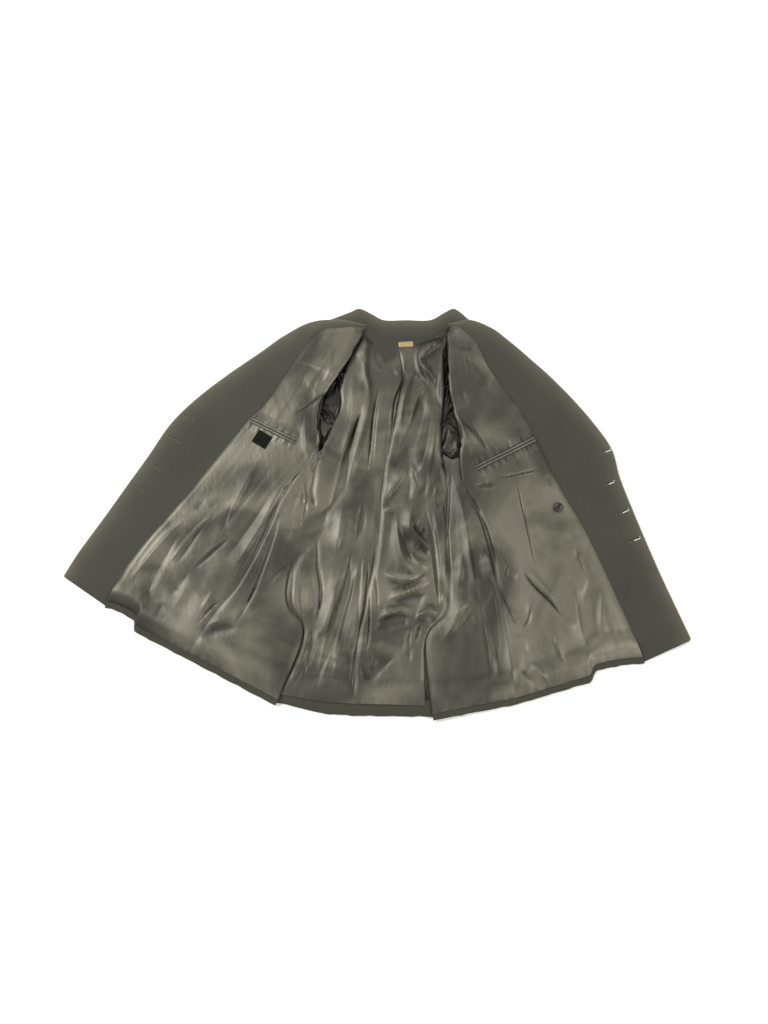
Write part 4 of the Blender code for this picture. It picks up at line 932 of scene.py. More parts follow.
    (27.1, 9.6, 28.6, 2.1, 30.1, -5.4, 31.7, -12.9, 0.6, -1.2),
    (28.6, 3.3, 29.2, -0.5, 29.9, -4.3, 30.8, -8.1, 1.4, 1.6),
    (41.6, -12.9, 40.7, -18.2, 41, -23.7, 41.8, -29.2, 2.6, -5),
    (38.3, -12.9, 38.8, -17, 39.3, -21.2, 40.1, -25.4, 1.8, 3),
    (44.4, -13.6, 44, -18.1, 43.8, -22.5, 44.2, -26.9, 3, 3),
    (29.7, -17.6, 29.9, -19.8, 29.3, -21.7, 27.9, -23.4, 1.4, -3),
    (25.7, -18.4, 26.2, -19.8, 26.7, -21.2, 27.2, -22.7, 1.6, -3),
    (28.3, -23.8, 28.6, -25.1, 28.8, -26.4, 29, -27.7, 1.8, 3),
    (34.4, -23.4, 34.9, -25.7, 35.6, -27.8, 36.5, -29.9, 0.8, 2.5),
    (36, -22.7, 37.1, -22.4, 38.1, -22.1, 39.2, -21.9, 1.6, 3),
    (27.4, -30.3, 28.5, -31.5, 29.7, -32.6, 30.9, -33.7, 1.2, -3),
    (29.4, -29.2, 30.7, -30.5, 32, -31.7, 33.3, -33, 1.4, 3),
    (33.7, 7.9, 34.1, 6.8, 34.6, 5.7, 35, 4.6, 1.4, -3),
    (19.6, 5.4, 20.9, 5.6, 22.1, 5.8, 23.3, 6, 1.4, -2.5),
    (23.3, 6.6, 26.8, 7.4, 30.2, 8.2, 33.7, 8.9, 0.6, -1.4),
    (13.1, 11.2, 14.3, 11, 15.3, 10.6, 16, 9.6, 1.2, 5),
    (14.7, 8.7, 14.1, 4.6, 13.9, 0.5, 14, -3.6, 0.9, -4.5),
    (15.9, 5.4, 17, 0.4, 17.9, -4.6, 18.1, -9.7, 1.6, 3),
    (11.8, 5.8, 11.9, 3.9, 12, 2, 12.2, 0, 1.4, -5),
    (39, -6.5, 39.7, -8.6, 40.4, -10.7, 41.2, -12.9, 1.6, -2.5),
    (36.6, -3.2, 37.1, -4, 37.6, -4.8, 38.2, -5.6, 1.4, 2),
)


# Right and left inner pocket, end to end: x, y | x, y in cm, and the puckers that their sewing draws up
POCKETS = {"right": (-25.5, 19.0, -16.5, 14.4), "left": (31.6, 15.0, 19.6, 8.9)}


def puckers():
    """Short ridges square to each pocket, uneven in length and spacing."""
    rows = []
    chance = np.random.RandomState(8)
    for x0, y0, x1, y1 in POCKETS.values():
        start = np.array([x0, y0])
        along, square, length = way_along(start, np.array([x1, y1]))
        for sign in (1, -1):
            place = 0.35
            while place < length - 0.3:
                near = start + along * place + square * sign * 0.35
                far = near + (square * sign + along * chance.uniform(-0.2, 0.2)) * chance.uniform(0.7, 1.9)
                mid = [near * (1 - t) + far * t for t in (-0.9, -0.25, 0.4, 1.0)]
                rows.append(tuple(np.concatenate(mid)) + (0.5, chance.uniform(0.35, 0.75)))
                place += chance.uniform(0.55, 0.95)
    return tuple(rows)


CREASES += puckers() + (
    (-3.1, 37.6, -2.9, 33.5, -2.4, 29.0, -1.4, 24.6, 1.5, 5.0),
    (13.4, 37.0, 8.9, 33.6, 9.2, 30.0, 12.2, 24.6, 1.9, 5.0),
    (-2.9, 22.5, -4.8, 16.9, -6.2, 12.1, -7.6, 8.0, 0.9, -5.5),
    (-5.2, -7.3, -6.5, -13.7, -8.0, -19.1, -9.4, -24.0, 0.9, -5.5),
)


FULL_FOLDS = (2.0, 13.5, -24.0)   # from x to x and above y in cm, the back's folds stand fuller
FULLER = 1.2                      # their height against the table's, and a wide fold's anywhere
KEEN = 2.0                        # a keen fold's depth against the table's
SLIGHT = 0.5                      # and a short fold's
KEEN_WIDTH = 0.17                 # how wide the painted shade line down in a keen fold is, cm


def creased(points):
    """Height that the creases add at plan points in metres, and where the keen ones lie. A ridge has a keen
    crest, a steep flank and a long one, as a tuck slipped over its neighbour. A trough is that turned over."""
    total = np.zeros(points.shape[:2])
    lines = np.zeros(points.shape[:2])
    flat = points / CM + np.array(LAID_MIDDLE)
    for index, row in enumerate(CREASES):
        line = through(np.array(row[:8]).reshape(4, 2), 8)
        width, height = row[8], row[9] * MM * CREASE_HEIGHT
        keen = height < 0 and width < 1
        if keen:
            height *= KEEN
        elif FULL_FOLDS[0] < line[:, 0].mean() < FULL_FOLDS[1] and line[:, 1].mean() > FULL_FOLDS[2]:
            height *= FULLER
        length = np.linalg.norm(np.diff(line, axis=0), axis=1).sum()
        if length < 4 or (width >= 2 and length < 7):
            height *= SLIGHT
        elif width >= 2:
            height *= FULLER
        reach = 2.4 * width
        near = ((flat[:, :, 0] > line[:, 0].min() - reach) & (flat[:, :, 0] < line[:, 0].max() + reach)
                & (flat[:, :, 1] > line[:, 1].min() - reach) & (flat[:, :, 1] < line[:, 1].max() + reach))
        if not near.any():
            continue
        spots = flat[near]
        start, run = line[:-1], line[1:] - line[:-1]
        long = np.maximum((run ** 2).sum(axis=1), 1e-9)
        away = spots[:, None] - start[None]
        t = np.clip((away * run[None]).sum(axis=2) / long, 0, 1)
        off = away - t[..., None] * run[None]
        apart = np.linalg.norm(off, axis=2)
        best = apart.argmin(axis=1)
        pick = np.arange(len(best))
        share = (best + t[pick, best]) / len(run)
        turn = run[best, 0] * off[pick, best, 1] - run[best, 1] * off[pick, best, 0]
        steep = (turn > 0) == bool(index % 2)
        fade = eased(np.minimum(share, 1 - share) / 0.40)
        spread = width * np.where(steep, 0.26, 0.80) * (0.55 + 0.45 * fade) + 0.05
        if keen:
            spread = np.where(steep, 0.16, 0.26)
        total[near] += height * fade * np.exp(-(apart.min(axis=1) / spread) ** 1.3)
        # A painted shade line down the trough of each keen fold
        if keen:
            lines[near] = np.maximum(lines[near], fade * np.exp(-(apart.min(axis=1) / KEEN_WIDTH) ** 2))
    return total, lines


def rippled(net, seed, size=1.0):
    """Fine ripples that run along a panel, from its own steps across and down."""
    rows, columns = net.shape[:2]
    down = run_along(net[:, columns // 2, :2])[:, None] / CM
    side = run_along(net[rows // 2, :, :2])[None] / CM
    bend = 0.8 * cloudy(side / 6 + 0 * down, down / 9, seed + 1)
    broad = cloudy(side / 3.2 + bend, down / 16, seed + 4) * 0.9
    long = cloudy(side / 1.35 + bend, down / 10, seed) * 0.5
    fine = cloudy(side / 0.7 + bend, down / 5, seed + 2) * 0.13
    return (broad + long + fine) * size * MM


def satin(name, dark, light, roughness, patch=5.5, gathers=()):
    """Acetate satin: long floats lie over its face, so light runs in broad soft bands along each fold.
    It is creased finely from wear and puckered along the seams in gathers; painted shade darkens it down in its
    folds, in the gathers' troughs and beside the pipings."""
    made, shader, place = new_material(name, Roughness=roughness, Metallic=0.42, Anisotropic=0.3)
    shader.inputs["Specular IOR Level"].default_value = 0.5
    apart = stepped(made, pattern(made, "Noise", place, patch, Detail=5.0, Distortion=1.2), 0.34, 0.66)
    tone = two_tone(made, dark, light, worked(made, "MULTIPLY_ADD", apart, 0.8, 0.1))
    # Painted shade: a value that each piece sets on its points mixes the colour toward near black
    depth = add_node(made, "Attribute", {"attribute_name": "painted_shade"}).outputs["Fac"]
    long = add_node(made, "Mapping", {"Scale": (1.0, 0.35, 1.0)}, {"Vector": place}).outputs["Vector"]
    relief = bumped(made, 0.12, 0.0002, pattern(made, "Wave", place, 1900.0 / 6.28, Distortion=1.5))
    rumple = pattern(made, "Noise", long, 46.0, Detail=6.0, Roughness=0.55, Distortion=0.8)
    relief = bumped(made, 0.32, 0.0025, rumple, relief)
    for x0, y0, x1, y1 in gathers:
        start, stop = placed((x0, y0)), placed((x1, y1))
        along, _, length = way_along(start, stop)
        local = add_node(made, "Mapping", {"vector_type": "TEXTURE", "Location": (*(start + stop) / 2, 0.0),
                                           "Rotation": (0.0, 0.0, math.atan2(along[1], along[0]))},
                         {"Vector": place}).outputs["Vector"]
        parts = add_node(made, "SeparateXYZ", links={"Vector": local})
        lengthwise, away = [worked(made, "ABSOLUTE", parts.outputs[axis]) for axis in "XY"]
        within = stepped(made, lengthwise, length / 2 - 2 * MM, length / 2 + 2 * MM, 1.0, 0.0)
        both = worked(made, "MULTIPLY", within, stepped(made, away, 7 * MM, 25 * MM, 1.0, 0.0))
        drawn = add_node(made, "Mapping", {"Scale": (125.0, 8.0, 1.0)}, {"Vector": local}).outputs["Vector"]
        tucks = pattern(made, "Noise", drawn, 1.0, Detail=0.0)
        # Painted shade in the troughs of the gathers, and beside the pipings where the lining turns down
        trough_shade = worked(made, "MULTIPLY", stepped(made, tucks, 0.34, 0.52, 0.6, 0.0), both)
        piping_shade = worked(made, "MULTIPLY", stepped(made, away, 5.6 * MM, 7.4 * MM, 0.95, 0.0), within)
        depth = worked(made, "MAXIMUM", worked(made, "MAXIMUM", depth, trough_shade), piping_shade)
        relief = bumped(made, 0.75, 0.004, worked(made, "MULTIPLY", tucks, both), relief)
    # The near-black colour of the painted shade
    shade = add_node(made, "Mix", {"data_type": "RGBA", 7: colour("#100f0c")}, {0: depth, 6: tone})
    return wired(made, shader, shade.outputs[2], relief)


lining_satin = satin("grey-olive satin lining", "#2e2c26", "#6a675b", 0.43, gathers=POCKETS.values())


NECK_BOW = 0.95 * CM
NECK_SHADOW = 0.85


def rounding(across_m):
    """How far the point of the neck's V is filled, at distances across from it."""
    slope, fill = 1.25, 1.5 * CM
    lower = 0.6 * CM * np.exp(-(across_m / (2.2 * CM)) ** 2)
    return np.hypot(slope * across_m, fill) - slope * np.abs(across_m) - lower


def neck_shaped(net, cells, right):
    """A back lining's net with its neck edge bowed and rounded, or widened under the left front."""
    fade = eased(1 - np.arange(net.shape[0]) / 16)[:, None]
    column = np.arange(net.shape[1])[None]
    net = net.copy()
    if right:
        bow = NECK_BOW * np.sin(math.pi * np.clip(column / cells[0], 0, 1))
        net[:, :, 0] += fade * 0.79 * bow
        net[:, :, 1] += fade * (0.62 * bow + rounding(net[:, :, 0] - net[:, cells[0]:cells[0] + 1, 0]))
    else:
        net[:, :, 0] += fade * 1.5 * CM * np.clip((column - cells[0]) / cells[1], 0, 1) ** 3
    return net


def beside_each(values):
    """The sum of the four values beside each one."""
    padded = np.pad(values, 1, mode="edge")
    return padded[:-2, 1:-1] + padded[2:, 1:-1] + padded[1:-1, :-2] + padded[1:-1, 2:]


def line_panel(name, sections, cells, seed, hem, node, loose, ripple):
    """A lining on its panel: seamed at its sides, with its ease in folds, and stopped short of the hem. A
    loose one hangs free along a share of one side, where an armhole is."""
    net = across(sections, cells)
    if name.startswith("front_satin"):
        net = hem_drawn_up(net, cells)
    if name.startswith("back_satin"):
        net = neck_shaped(net, cells, name.endswith("right"))
    from_hem = distance_to_hem(net)
    rows = np.empty_like(net)
    for column in range(net.shape[1]):
        wanted = np.linspace(from_hem[0, column], hem, net.shape[0])
        for axis in range(3):
            rows[:, column, axis] = np.interp(-wanted, -from_hem[:, column], net[:, column, axis])
    net = rows
    base = net[:, :, 2].copy()
    to_hem = np.maximum(from_hem[0].mean() * np.linspace(1, 0, net.shape[0])[:, None], 0)
    base += eased((TURN_UP - hem + 4.2 * CM - to_hem) / (4.0 * CM)) * (2 * HEM_RADIUS + 1.1 * MM)
    shares = np.linspace(0, 1, net.shape[1])[None]
    width = float(np.linalg.norm(np.diff(net[:, :, :2], axis=1), axis=2).sum(axis=1).mean())
    t_left = np.clip(shares * width / (1.0 * CM), 0, 1)
    t_right = np.clip((1 - shares) * width / (1.0 * CM), 0, 1)
    pinned = np.repeat((t_left * (2 - t_left)) * (t_right * (2 - t_right)), net.shape[0], axis=0)
    if loose:
        above = np.arange(net.shape[0])[:, None] / net.shape[0] < loose[0]
        edge, other = (shares, t_right) if loose[1] == 0 else (1 - shares, t_left)
        soft_edge = 0.55 + 0.45 * np.clip(edge * width / (0.5 * CM), 0, 1)
        pinned = np.where(above, soft_edge * (other * (2 - other)), pinned)
    bottom = eased(to_hem / (4.5 * CM)) * 0.75 + 0.25
    top = np.clip((from_hem[0].mean() - to_hem) / (1.0 * CM), 0, 1)
    if loose:
        side = 0 if loose[1] == 0 else -1
        inward = unit(net[:, 4 if side == 0 else -5, :2] - net[:, side, :2])
        ragged = 1.5 * MM * cloudy(from_hem[:, side] / (0.9 * CM), 0 * to_hem[:, 0], seed + 9)
        near = np.exp(-edge * width / (0.5 * CM))
        net[:, :, :2] += inward[:, None] * (ragged[:, None] * np.where(above, near, 0))[:, :, None]
    tucks, lines = creased(net[:, :, :2])
    lift = FLOAT + tucks + rippled(net, seed, ripple)
    lift = pinned * bottom * (0.4 + 0.6 * top) * lift
    soft = 0.9 * MM
    lift = np.where(lift > soft, lift, soft * np.exp(np.minimum(lift / soft - 1, 0)))
    place = shares * width
    pucker = 0.3 * MM * np.sin(place / MM * 0.45 + 3 * cloudy(place / (3 * CM), 0 * place, seed + 7))
    pucker = pucker * (0.6 + 0.9 * cloudy(place / (3 * CM), 0 * place, seed + 8))
    lift = lift + pucker * np.exp(-to_hem / (0.8 * CM))
    net[:, :, 2] = base + lift
    # Painted shade in hollows below the smoothed surface and along keen fold troughs
    broad = net[:, :, 2]
    for turns in range(12):
        broad = (beside_each(broad) + broad) / 5
    painted_shade = np.maximum(0.7 * np.clip((broad - net[:, :, 2]) / (1.1 * MM), 0, 1), 0.9 * lines)
    # Painted shadow along the back lining's neck edge
    if name.startswith("back_satin"):
        from_neck = from_hem[0].mean() - to_hem
        spots = net[:, :, :2] / (2.2 * CM)
        uneven = 0.7 + 0.5 * cloudy(spots[:, :, 0], spots[:, :, 1], 90)
        painted_shade = np.maximum(painted_shade, np.clip(NECK_SHADOW * np.exp(-(from_neck / (1.3 * CM)) ** 2) * uneven, 0, 1))
    piece = cloth(name, net, square_to(net), SATIN, lining_satin)
    marked(piece, "painted_shade", painted_shade)
    lay(piece, node, "satin_lining")
    return piece


LININGS = {}
for index, side in enumerate(FRONTS):
    for part, sections, cells, seed, loose, ripple in (
            ("front", front_sections(side, ROW_STEPS)[0][:, :3].copy(), (90, 74), 10, (0.5, 0), 1.0),
            ("side", side_sections(side, ROW_STEPS), (34, 34), 20, None, 0.95)):
        sections[:, :, 2] += WOOL / 2 + GAP + SATIN / 2
        LININGS[part + "_" + side] = line_panel(part + "_satin_" + side, sections, cells, seed + index,
                                                FRONT_HEM_SHOWS, part + "_lining_" + side,
                                                loose, ripple)

fine_rows, fine_lift = back_sections(ROW_STEPS)
for index, (side, part) in enumerate((("right", slice(0, 3)), ("left", slice(2, 5)))):
    sections = raised(fine_rows[:, part], fine_lift[:, part] + WOOL + GAP + SATIN / 2)
    LININGS["back_" + side] = line_panel("back_satin_" + side, sections, (56, 56), 30 + index, BACK_HEM_SHOWS,
                                         "back_lining_" + side, (0.36, index), 0.95)

# Sleeve linings
# Each sleeve is lined in satin drawn darker as painted shade down in the armhole, cut wider than the armhole
# and gathered into it, so it shows in the mouth as deep uneven pleats that run into the sleeve.
# The sleeve lining's colours are darker than the body lining's, as painted shade down in the armholes
sleeve_satin = satin("sleeve satin with painted shade", "#11100d", "#5d5a50", 0.42, 24.0)
MOUTH_ROWS = 120
MOUTH_COLUMNS = 30
MOUTH_TUCK = 14 * MM
MOUTH_PLEATS = 12


def at_shares(points, shares):
    """Points at shares of the way along a line of points."""
    run = run_along(points)
    return np.stack([np.interp(shares * run[-1], run, column) for column in points.T], axis=1)


for index, side in enumerate(FRONTS):
    front_edge = plan(FRONTS[side][0], 8)[12:60, 3]
    back_edge = plan(BACK, 8)[8:40, 0 if side == "right" else 4]
    shares = np.linspace(0.0, 0.97, MOUTH_ROWS)
    front_edge, back_edge = at_shares(front_edge, shares), at_shares(back_edge, shares)
    way = front_edge - back_edge
    way /= np.maximum(np.linalg.norm(way, axis=1, keepdims=True), 1e-6)
    start, stop = back_edge + way * 0.5 * MM, front_edge + way * MOUTH_TUCK
    t = np.linspace(0, 1, MOUTH_COLUMNS)[None, :, None]
    net = start[:, None] * (1 - t) + stop[:, None] * t
    down = np.linspace(0, 1, MOUTH_ROWS)[:, None] + 0.03 * np.sin(5 * t[:, :, 0])
    wander = 1.2 * cloudy(9 * down, 3 * t[:, :, 0], 60 + index)
    pleat = 0.5 + 0.5 * np.sin(2 * math.pi * (MOUTH_PLEATS * down + wander))
    swell = np.sin(math.pi * np.clip(t[:, :, 0] * 1.15, 0, 1)) ** 0.8
    tall = (2.7 + swell * (1.0 + 8.0 * pleat ** 1.3 * (0.6 + 0.4 * cloudy(12 * down, 4 * t[:, :, 0], 62)))) * MM
    net = raised(net, np.maximum(tall, 2.6 * MM))
    piece = cloth("sleeve_satin_" + side, net, upward(net), SATIN, sleeve_satin)
    # Painted shade over the upper part of the mouth, deepest at the top
    marked(piece, "painted_shade", 0.9 * np.clip((0.72 - down) / 0.25, 0, 1) + 0 * t[:, :, 0])
    lay(piece, "sleeve_lining_" + side, "satin_lining")

# Collar and neck facing
# The collar is a stand and a fall cut in one. It rolls over at the neck with its fall turned under, and a
# facing of the same wool closes the neck between the stand and the back lining.
# Right end to left: roll line x, y | stand's lower seam x, y
COLLAR = (
    (-11.0, 40.6, -8.0, 39.5),
    (-8.3, 41.6, -6.4, 39.5),
    (-5.6, 42.7, -4.6, 39.4),
    (-3.7, 43.4, -3.0, 39.2),
    (-1.2, 42.2, -1.0, 38.5),
    (1.4, 40.9, 1.2, 37.2),
    (6.1, 40.9, 6.0, 36.7),
    (10.8, 40.9, 10.8, 37.1),
    (13.8, 42.5, 13.3, 38.6),
    (15.7, 43.4, 14.8, 39.2),
    (17.2, 42.6, 16.2, 39.4),
    (18.6, 41.3, 17.4, 39.4),
    (20.4, 40.2, 18.8, 39.2),
)
NECK_ENDS = (-3.4, 14.9)
COLLAR_RADIUS = 1.6 * MM
COLLAR_FALL = 3.0 * CM

collar_table = through(COLLAR, 10)
roll_line, stand_seam = placed(collar_table[:, :2]), placed(collar_table[:, 2:])
way = np.zeros_like(roll_line)
way[:, 1] = -1.0
radius = np.full(len(roll_line), COLLAR_RADIUS)
level = radius + WOOL / 2
centre = roll_line + way * level[:, None]
top_line = raised(centre[:, None], (level + radius)[:, None])
bottom_line = raised(stand_seam[:, None], np.full((len(stand_seam), 1), WOOL + 2 * GAP + WOOL / 2 + 0.4 * MM))
flat = across(np.concatenate([bottom_line, top_line], axis=1), (14,))
share = np.linspace(0, 1, 15)[None]
flat[:, :, 2] += 0.8 * MM * np.sin(math.pi * share)
turn, turn_way = turned_edge(centre, way, level, radius, np.full(len(roll_line), COLLAR_FALL), 8, 6)
middle = np.concatenate([flat, turn], axis=1)
piece = cloth("collar_cloth", middle, np.concatenate([upward(flat), turn_way], axis=1), WOOL, facing_wool)
# Painted highlight toward the collar's roll and over its turned fall
painted_highlight = np.concatenate([np.repeat(0.75 * share ** 2, len(flat), axis=0), np.full(turn.shape[:2], 0.75)], axis=1)
marked(piece, "painted_highlight", painted_highlight)
lay(piece, "collar", "wool_facing")

seam = stand_seam[36:85].copy()
seam[:, 1] += 0.6 * MM
seam[0, 0], seam[-1, 0] = placed((NECK_ENDS[0], 0))[0], placed((NECK_ENDS[1], 0))[0]
neck_line = plan(BACK, 8)[0].copy()
for end, inner, x in ((0, 1, NECK_ENDS[0]), (4, 3, NECK_ENDS[1])):
    share = (placed((x, 0))[0] - neck_line[end, 0]) / (neck_line[inner, 0] - neck_line[end, 0])
    neck_line[end] += (neck_line[inner] - neck_line[end]) * share
v_left, v_bottom = neck_line[0].copy(), neck_line[1].copy()
neck_line = at_shares(neck_line - np.array([0, 2 * MM]), np.linspace(0, 1, 49))
bow = NECK_BOW * np.sin(math.pi * np.clip((neck_line[:, 0] - v_left[0]) / (v_bottom[0] - v_left[0]), 0, 1))
neck_line[:, 0] += 0.7 * bow
neck_line[:, 1] += 0.55 * bow + rounding(neck_line[:, 0] - v_bottom[0])
t = np.linspace(0, 1, 14)[None, :, None]
net = seam[:, None] * (1 - t) + neck_line[:, None] * t
top = surface_over([bpy.data.objects["back_cloth_right"], bpy.data.objects["back_cloth_left"]])
tall = np.array([[max(top(x, y), WOOL) for x, y in row] for row in net]) + 0.5 * MM + WOOL / 2
net = raised(net, tall)
piece = cloth("neck_facing_cloth", net, upward(net), WOOL * 0.6, facing_wool)
lay(piece, "neck_facing", "wool_facing")

# Inner pockets
# A double-piped pocket is set across each front lining at the chest: two folded strips of the lining's
# satin meet over the slit, and the satin puckers where they are sewn in.
WELT_WIDTH = 4.5 * MM
STITCH_WIDTH = 0.35 * MM
STITCH_HEIGHT = 0.25 * MM
satin_piping = satin("satin piping", "#4b4940", "#625f55", 0.44)

for side, pocket in POCKETS.items():
    start, stop = placed(pocket[:2]), placed(pocket[2:])
    along, square, length = way_along(start, stop)
    top = surface_over([LININGS["front_" + side]])
    shares = np.linspace(0, 1, 61)
    wave = 0.35 * MM * cloudy(shares * 7, shares * 0, 71)
    ridge = np.array([max(top(*(start + along * length * share + square * off * MM))
                          for off in (-4, -2, 0, 2, 4)) for share in shares])
    ridge = np.convolve(np.pad(ridge, 4, mode="edge"), np.ones(9) / 9, mode="valid")
    for name, sign in (("upper", 1), ("lower", -1)):
        rows = []
        for turn in np.linspace(0, math.pi, 11):
            out = sign * (0.75 * MM + WELT_WIDTH * (0.5 - 0.5 * math.cos(turn))) + wave
            spots = start + along * (length * shares)[:, None] + square * out[:, None]
            lift = 0.35 * MM + 1.7 * MM * math.sin(turn) ** 0.7 * (1 - 0.15 * np.abs(np.sin(40 * shares)))
            rows.append(np.column_stack([spots, ridge + lift]))
        net = np.stack(rows, axis=1)
        piece = cloth("pocket_piping_" + name + "_" + side, net, upward(net), 0.6 * MM, satin_piping)
        hand_over(piece, "pocket_welt_" + name + "_" + side, "satin_piping")
    tacks = []
    for end, side_way in ((start, -1), (stop, 1)):
        for step in range(-4, 5):
            spot = end + along * side_way * 0.6 * MM + square * step * 0.85 * MM
            level = top(*spot) + 0.5 * MM
            ahead = spot + along * 0.9 * MM
            tacks.append(thread_part((*spot, level), (*ahead, level), 0.6 * MM, 0.5 * MM))
    for sign in (1, -1):
        for place in np.arange(0.002, length - 0.002, 0.0026):
            spot = start + along * place + square * sign * (WELT_WIDTH + 0.7 * MM)
            ahead = spot + along * 1.7 * MM
            level = max(top(*spot), top(*ahead)) + 0.05 * MM
            tacks.append(thread_part((*spot, level), (*ahead, level), STITCH_WIDTH, STITCH_HEIGHT))
    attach(joined("pocket_stitches_" + side, tacks, dark_thread), "root")

# Labels
# A black woven patch is sewn below the right inner pocket and a small cream one with orange selvedges at
# the neck. Both are left bare.
LABEL_CLOTH = 0.5 * MM


def label_weave(name, shade, line_shade):
    """A woven label: fine ribs across it, matt, with slightly raised threads."""
    made, shader, place = new_material(name, Roughness=0.9)
    shader.inputs["Specular IOR Level"].default_value = 0.15
    ribs = pattern(made, "Wave", place, 420.0, Distortion=0.4)
    return wired(made, shader, two_tone(made, shade, line_shade, ribs), bumped(made, 0.5, 0.0002, ribs))


black_weave = label_weave("black woven label", "#080807", "#12120f")
cream_weave = label_weave("cream woven label", "#a39a76", "#857c58")
orange_weave = label_weave("orange selvedge", "#8f5524", "#6b3f18")

# Middle x, y | width | height, in cm | turn in degrees
for node, spec, slot, under, finishes, thread in (
        ("pocket_label", (-23.2, 14.9, 3.2, 2.9, -31.0), "black_label", "front_satin_right",
         (black_weave, black_weave), dark_thread),
        ("neck_label", (5.8, 35.6, 3.0, 1.3, 3.0), "cream_label", "neck_facing_cloth",
         (cream_weave, orange_weave), pale_twist)):
    x, y, width, height, turn = spec
    turn = math.radians(turn)
    along = np.array([math.cos(turn), math.sin(turn)])
    square = np.array([-along[1], along[0]])
    middle = placed((x, y))
    u = np.linspace(-0.5, 0.5, 17)[None, :, None] * width * CM
    v = np.linspace(-0.5, 0.5, 13)[:, None, None] * height * CM
    net = middle + along * u + square * v
    things = [bpy.data.objects[under]]
    if node == "neck_label":
        things += [LININGS["back_right"], LININGS["back_left"]]
    top = surface_over(things)
    tall = np.array([[top(*spot) for spot in row] for row in net])
    tall = np.maximum(tall, tall.mean() - 0.2 * MM)
    for turns in range(3):
        tall = np.maximum(tall, beside_each(tall) / 4)
    net = raised(net, tall + 0.35 * MM + LABEL_CLOTH / 2)
    piece = cloth(node + "_cloth", net, square_to(net), LABEL_CLOTH, finishes[0])
    piece.data.materials.append(finishes[1])
    for face in piece.data.polygons:
        spot = np.array(face.center[:2]) - middle
        if abs(float(spot @ square)) > height * CM * 0.36:
            face.material_index = 1
    lay(piece, node, slot)
    parts = []
    for line in (net[1, 1:-1], net[-2, 1:-1], net[1:-1, 1], net[1:-1, -2]):
        run = run_along(line)
        for place in np.arange(0.0005, run[-1] - 0.001, 0.0024):
            ends = [[np.interp(place + far, run, line[:, axis]) for axis in range(3)] for far in (0, 0.0015)]
            for end in ends:
                end[2] += LABEL_CLOTH / 2
            parts.append(thread_part(ends[0], ends[1], STITCH_WIDTH, STITCH_HEIGHT))
    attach(joined(node + "_stitches", parts, thread), "root")

# Inner button
# A dark horn button with a rolled rim and four holes, sewn through the left front lining.
INNER_BUTTON = (35.9, 1.1)
BUTTON_RADIUS = 10.0 * MM
BUTTON_HEIGHT = 3.6 * MM
HOLES_OUT = 0.27               # of the radius, from the middle to each hole
# From the middle of its top to the middle of its back: share of the radius | share of the height
BUTTON_PROFILE = ((0.01, 0.62), (0.40, 0.60), (0.56, 0.64), (0.62, 0.78), (0.70, 0.95), (0.79, 1.0),
                  (0.90, 0.94), (0.97, 0.78), (1.0, 0.58), (0.97, 0.34), (0.88, 0.08), (0.80, 0.0), (0.01, 0.0))


def turned(name, profile, steps, material):
    """A round piece turned from a profile of radius and height, closed at both ends."""
    points, faces = [], []
    for radius, height in profile:
        for step in range(steps):
            angle = 2 * math.pi * step / steps
            points.append((radius * math.cos(angle), radius * math.sin(angle), height))
    for ring in range(len(profile) - 1):
        for step in range(steps):
            after = (step + 1) % steps
            faces.append((ring * steps + step, ring * steps + after, (ring + 1) * steps + after,
                          (ring + 1) * steps + step))
    faces.append(tuple(range(steps))[::-1])
    faces.append(tuple(range((len(profile) - 1) * steps, len(profile) * steps)))
    thing = joined(name, [(points, faces)], material)
    shape = bmesh.new()
    shape.from_mesh(thing.data)
    bmesh.ops.recalc_face_normals(shape, faces=shape.faces)
    shape.to_mesh(thing.data)
    shape.free()
    thing.data.shade_smooth()
    thing.data.set_sharp_from_angle(angle=math.radians(50))
    return thing


def horn(name):
    """Polished dark horn: near black with brown streaks, and a soft gloss."""
    made, shader, place = new_material(name, Roughness=0.33, IOR=1.54)
    streaks = pattern(made, "Noise", place, 160.0, Detail=4.0, Distortion=2.0)
    tone = two_tone(made, "#0f0d0a", "#29241c", streaks)
    return wired(made, shader, tone, bumped(made, 0.1, 0.0001, streaks))


dark_horn = horn("dark horn")
r, h = BUTTON_RADIUS, BUTTON_HEIGHT
profile = [(across * r, up * h) for across, up in BUTTON_PROFILE]
button = turned("inner_button_horn", profile, 48, dark_horn)
holes = [(HOLES_OUT * r * math.cos(angle), HOLES_OUT * r * math.sin(angle))
         for angle in math.pi / 4 + math.pi / 2 * np.arange(4)]
round_hole = np.linspace(0, 2 * math.pi, 16, endpoint=False)
carve(button, [[(x + MM * math.cos(a), y + MM * math.sin(a)) for a in round_hole] for x, y in holes], -h, 2 * h)
spot = placed(INNER_BUTTON)
top = surface_over([LININGS["front_left"]])
seat = np.mean([top(spot[0] + x * r, spot[1] + y * r) for x, y in ((0, 0), (1, 0), (-1, 0), (0, 1), (0, -1))])
for vert in button.data.vertices:
    vert.co += Vector((spot[0], spot[1], seat))
hand_over(button, "inner_button", "dark_button")
level = seat + 0.62 * h
parts = []
for one, two in ((0, 1), (3, 2)):
    ends = [spot + np.array(holes[one]), spot + np.array(holes[two])]
    for shift in (-0.3 * MM, 0.3 * MM):
        start, stop = [(end[0], end[1] + shift, level) for end in ends]
        parts.append(thread_part(start, stop, 0.55 * MM, 0.6 * MM))
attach(joined("inner_button_thread", parts, dark_thread), "root")

# Front buttons
# Eight plain domed brass buttons stand on the outside of the fronts, which lies downward. Each is a die
# pressed shell on a shank.
SHANK_RADIUS = 2.4 * MM
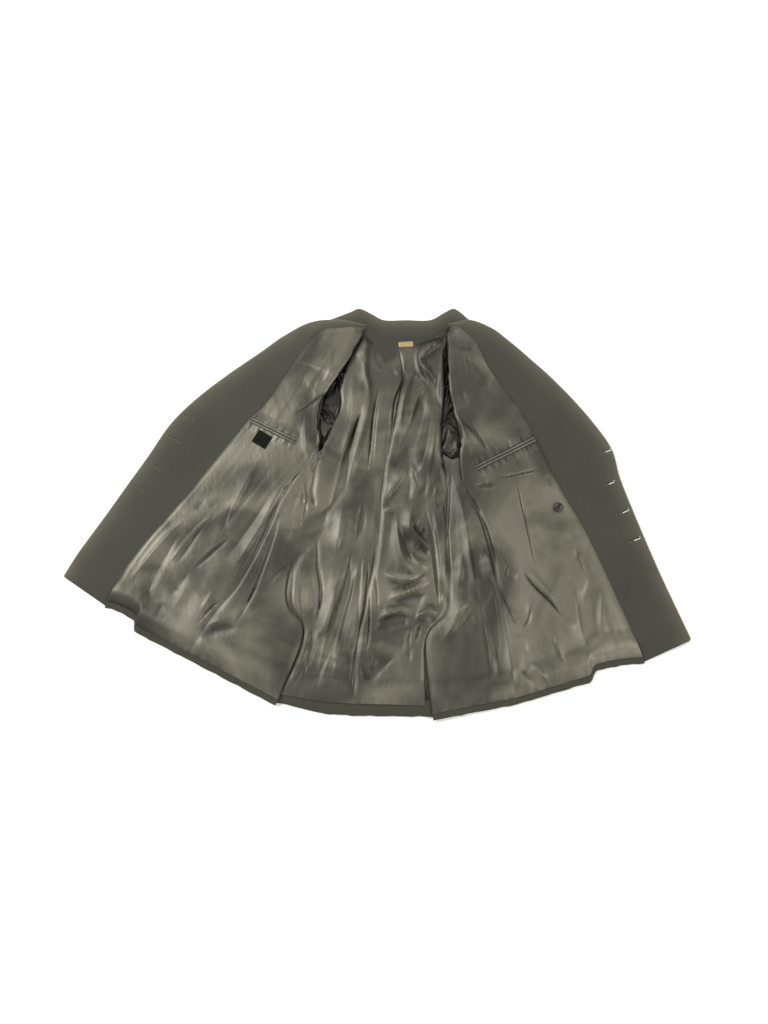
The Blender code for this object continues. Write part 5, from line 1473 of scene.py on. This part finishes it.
# From the shell's back to its crown: share of the radius | share of the height
DOME = ((0.90, 0.36), (0.97, 0.38), (1.0, 0.44), (0.985, 0.50), (0.93, 0.54), (0.90, 0.60), (0.82, 0.74),
        (0.66, 0.87), (0.42, 0.96), (0.18, 0.995), (0.02, 1.0))


def brass(name):
    """Pressed and lacquered brass: warm yellow metal with a fine mottled tarnish."""
    made, shader, place = new_material(name, Metallic=1.0, Roughness=0.3)
    tarnish = pattern(made, "Noise", place, 220.0, Detail=5.0)
    tone = two_tone(made, "#b08a3f", "#d9b566", tarnish)
    return wired(made, shader, tone, bumped(made, 0.08, 0.0002, tarnish))


pressed_brass = brass("pressed brass")
for side in ("left", "right"):
    for number in range(1, 5):
        node = "front_button_%s_%d" % (side, number)
        button_low, button_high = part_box(node)
        radius, tall = (button_high[0] - button_low[0]) / 2, button_high[2] - button_low[2]
        profile = [(0.05 * radius, 0.0), (SHANK_RADIUS, 0.0), (SHANK_RADIUS, -0.30 * tall)]
        profile += [(across * radius, -down * tall) for across, down in DOME]
        button = turned("brass_dome_%s_%d" % (side, number), profile, 32, pressed_brass)
        lift = (Vector(button_low) + Vector(button_high)) / 2
        lift.z = button_high[2]
        for vert in button.data.vertices:
            vert.co += lift
        hand_over(button, node, "brass_button")

# Floor, light and camera
# The jacket lies on a white paper sweep in soft light from windows and a lamp, seen from almost straight
# over it.
floor_mesh = bpy.data.meshes.new("floor")
floor_mesh.from_pydata([(-6, -6, 0), (6, -6, 0), (6, 6, 0), (-6, 6, 0)], [], [(0, 1, 2, 3)])
floor = shown("floor", floor_mesh)
floor_mesh.materials.append(new_material("white paper sweep", Base_Color=colour("#f4f4f2"), Roughness=0.9)[0])

# Place and size in m | power in W | tint, each turned toward the jacket
for name, place, size, power, tint in (("window", (-2.0, 0.7, 2.2), 1.5, 88, "#fffdf8"),
                                       ("lamp", (1.9, -0.8, 2.2), 1.4, 46, "#fffaf0"),
                                       ("far_window", (0.6, 2.3, 2.2), 1.5, 20, "#fffdf8")):
    lamp = bpy.data.lights.new(name, "AREA")
    lamp.size = size
    lamp.energy = power
    lamp.color = colour(tint)[:3]
    holder = shown(name, lamp)
    holder.location = place
    holder.rotation_euler = Vector(place).to_track_quat("Z", "Y").to_euler()
bpy.context.scene.view_settings.view_transform = "Standard"
world = bpy.data.worlds.new("room")
world.use_nodes = True
sky = world.node_tree.nodes["Background"]
sky.inputs["Color"].default_value = colour("#f2f4f6")
sky.inputs["Strength"].default_value = 0.55
bpy.context.scene.world = world

TARGET = Vector((0.0165, -0.0102, 0.0))
DISTANCE = 2.0
ELEVATION = math.radians(80)
lens = bpy.data.cameras.new("camera")
lens.lens = 35
lens.sensor_width = 36
camera = shown("camera", lens)
camera.location = TARGET + DISTANCE * Vector((0, -math.cos(ELEVATION), math.sin(ELEVATION)))
camera.rotation_euler = (camera.location - TARGET).to_track_quat("Z", "Y").to_euler()
bpy.context.scene.camera = camera
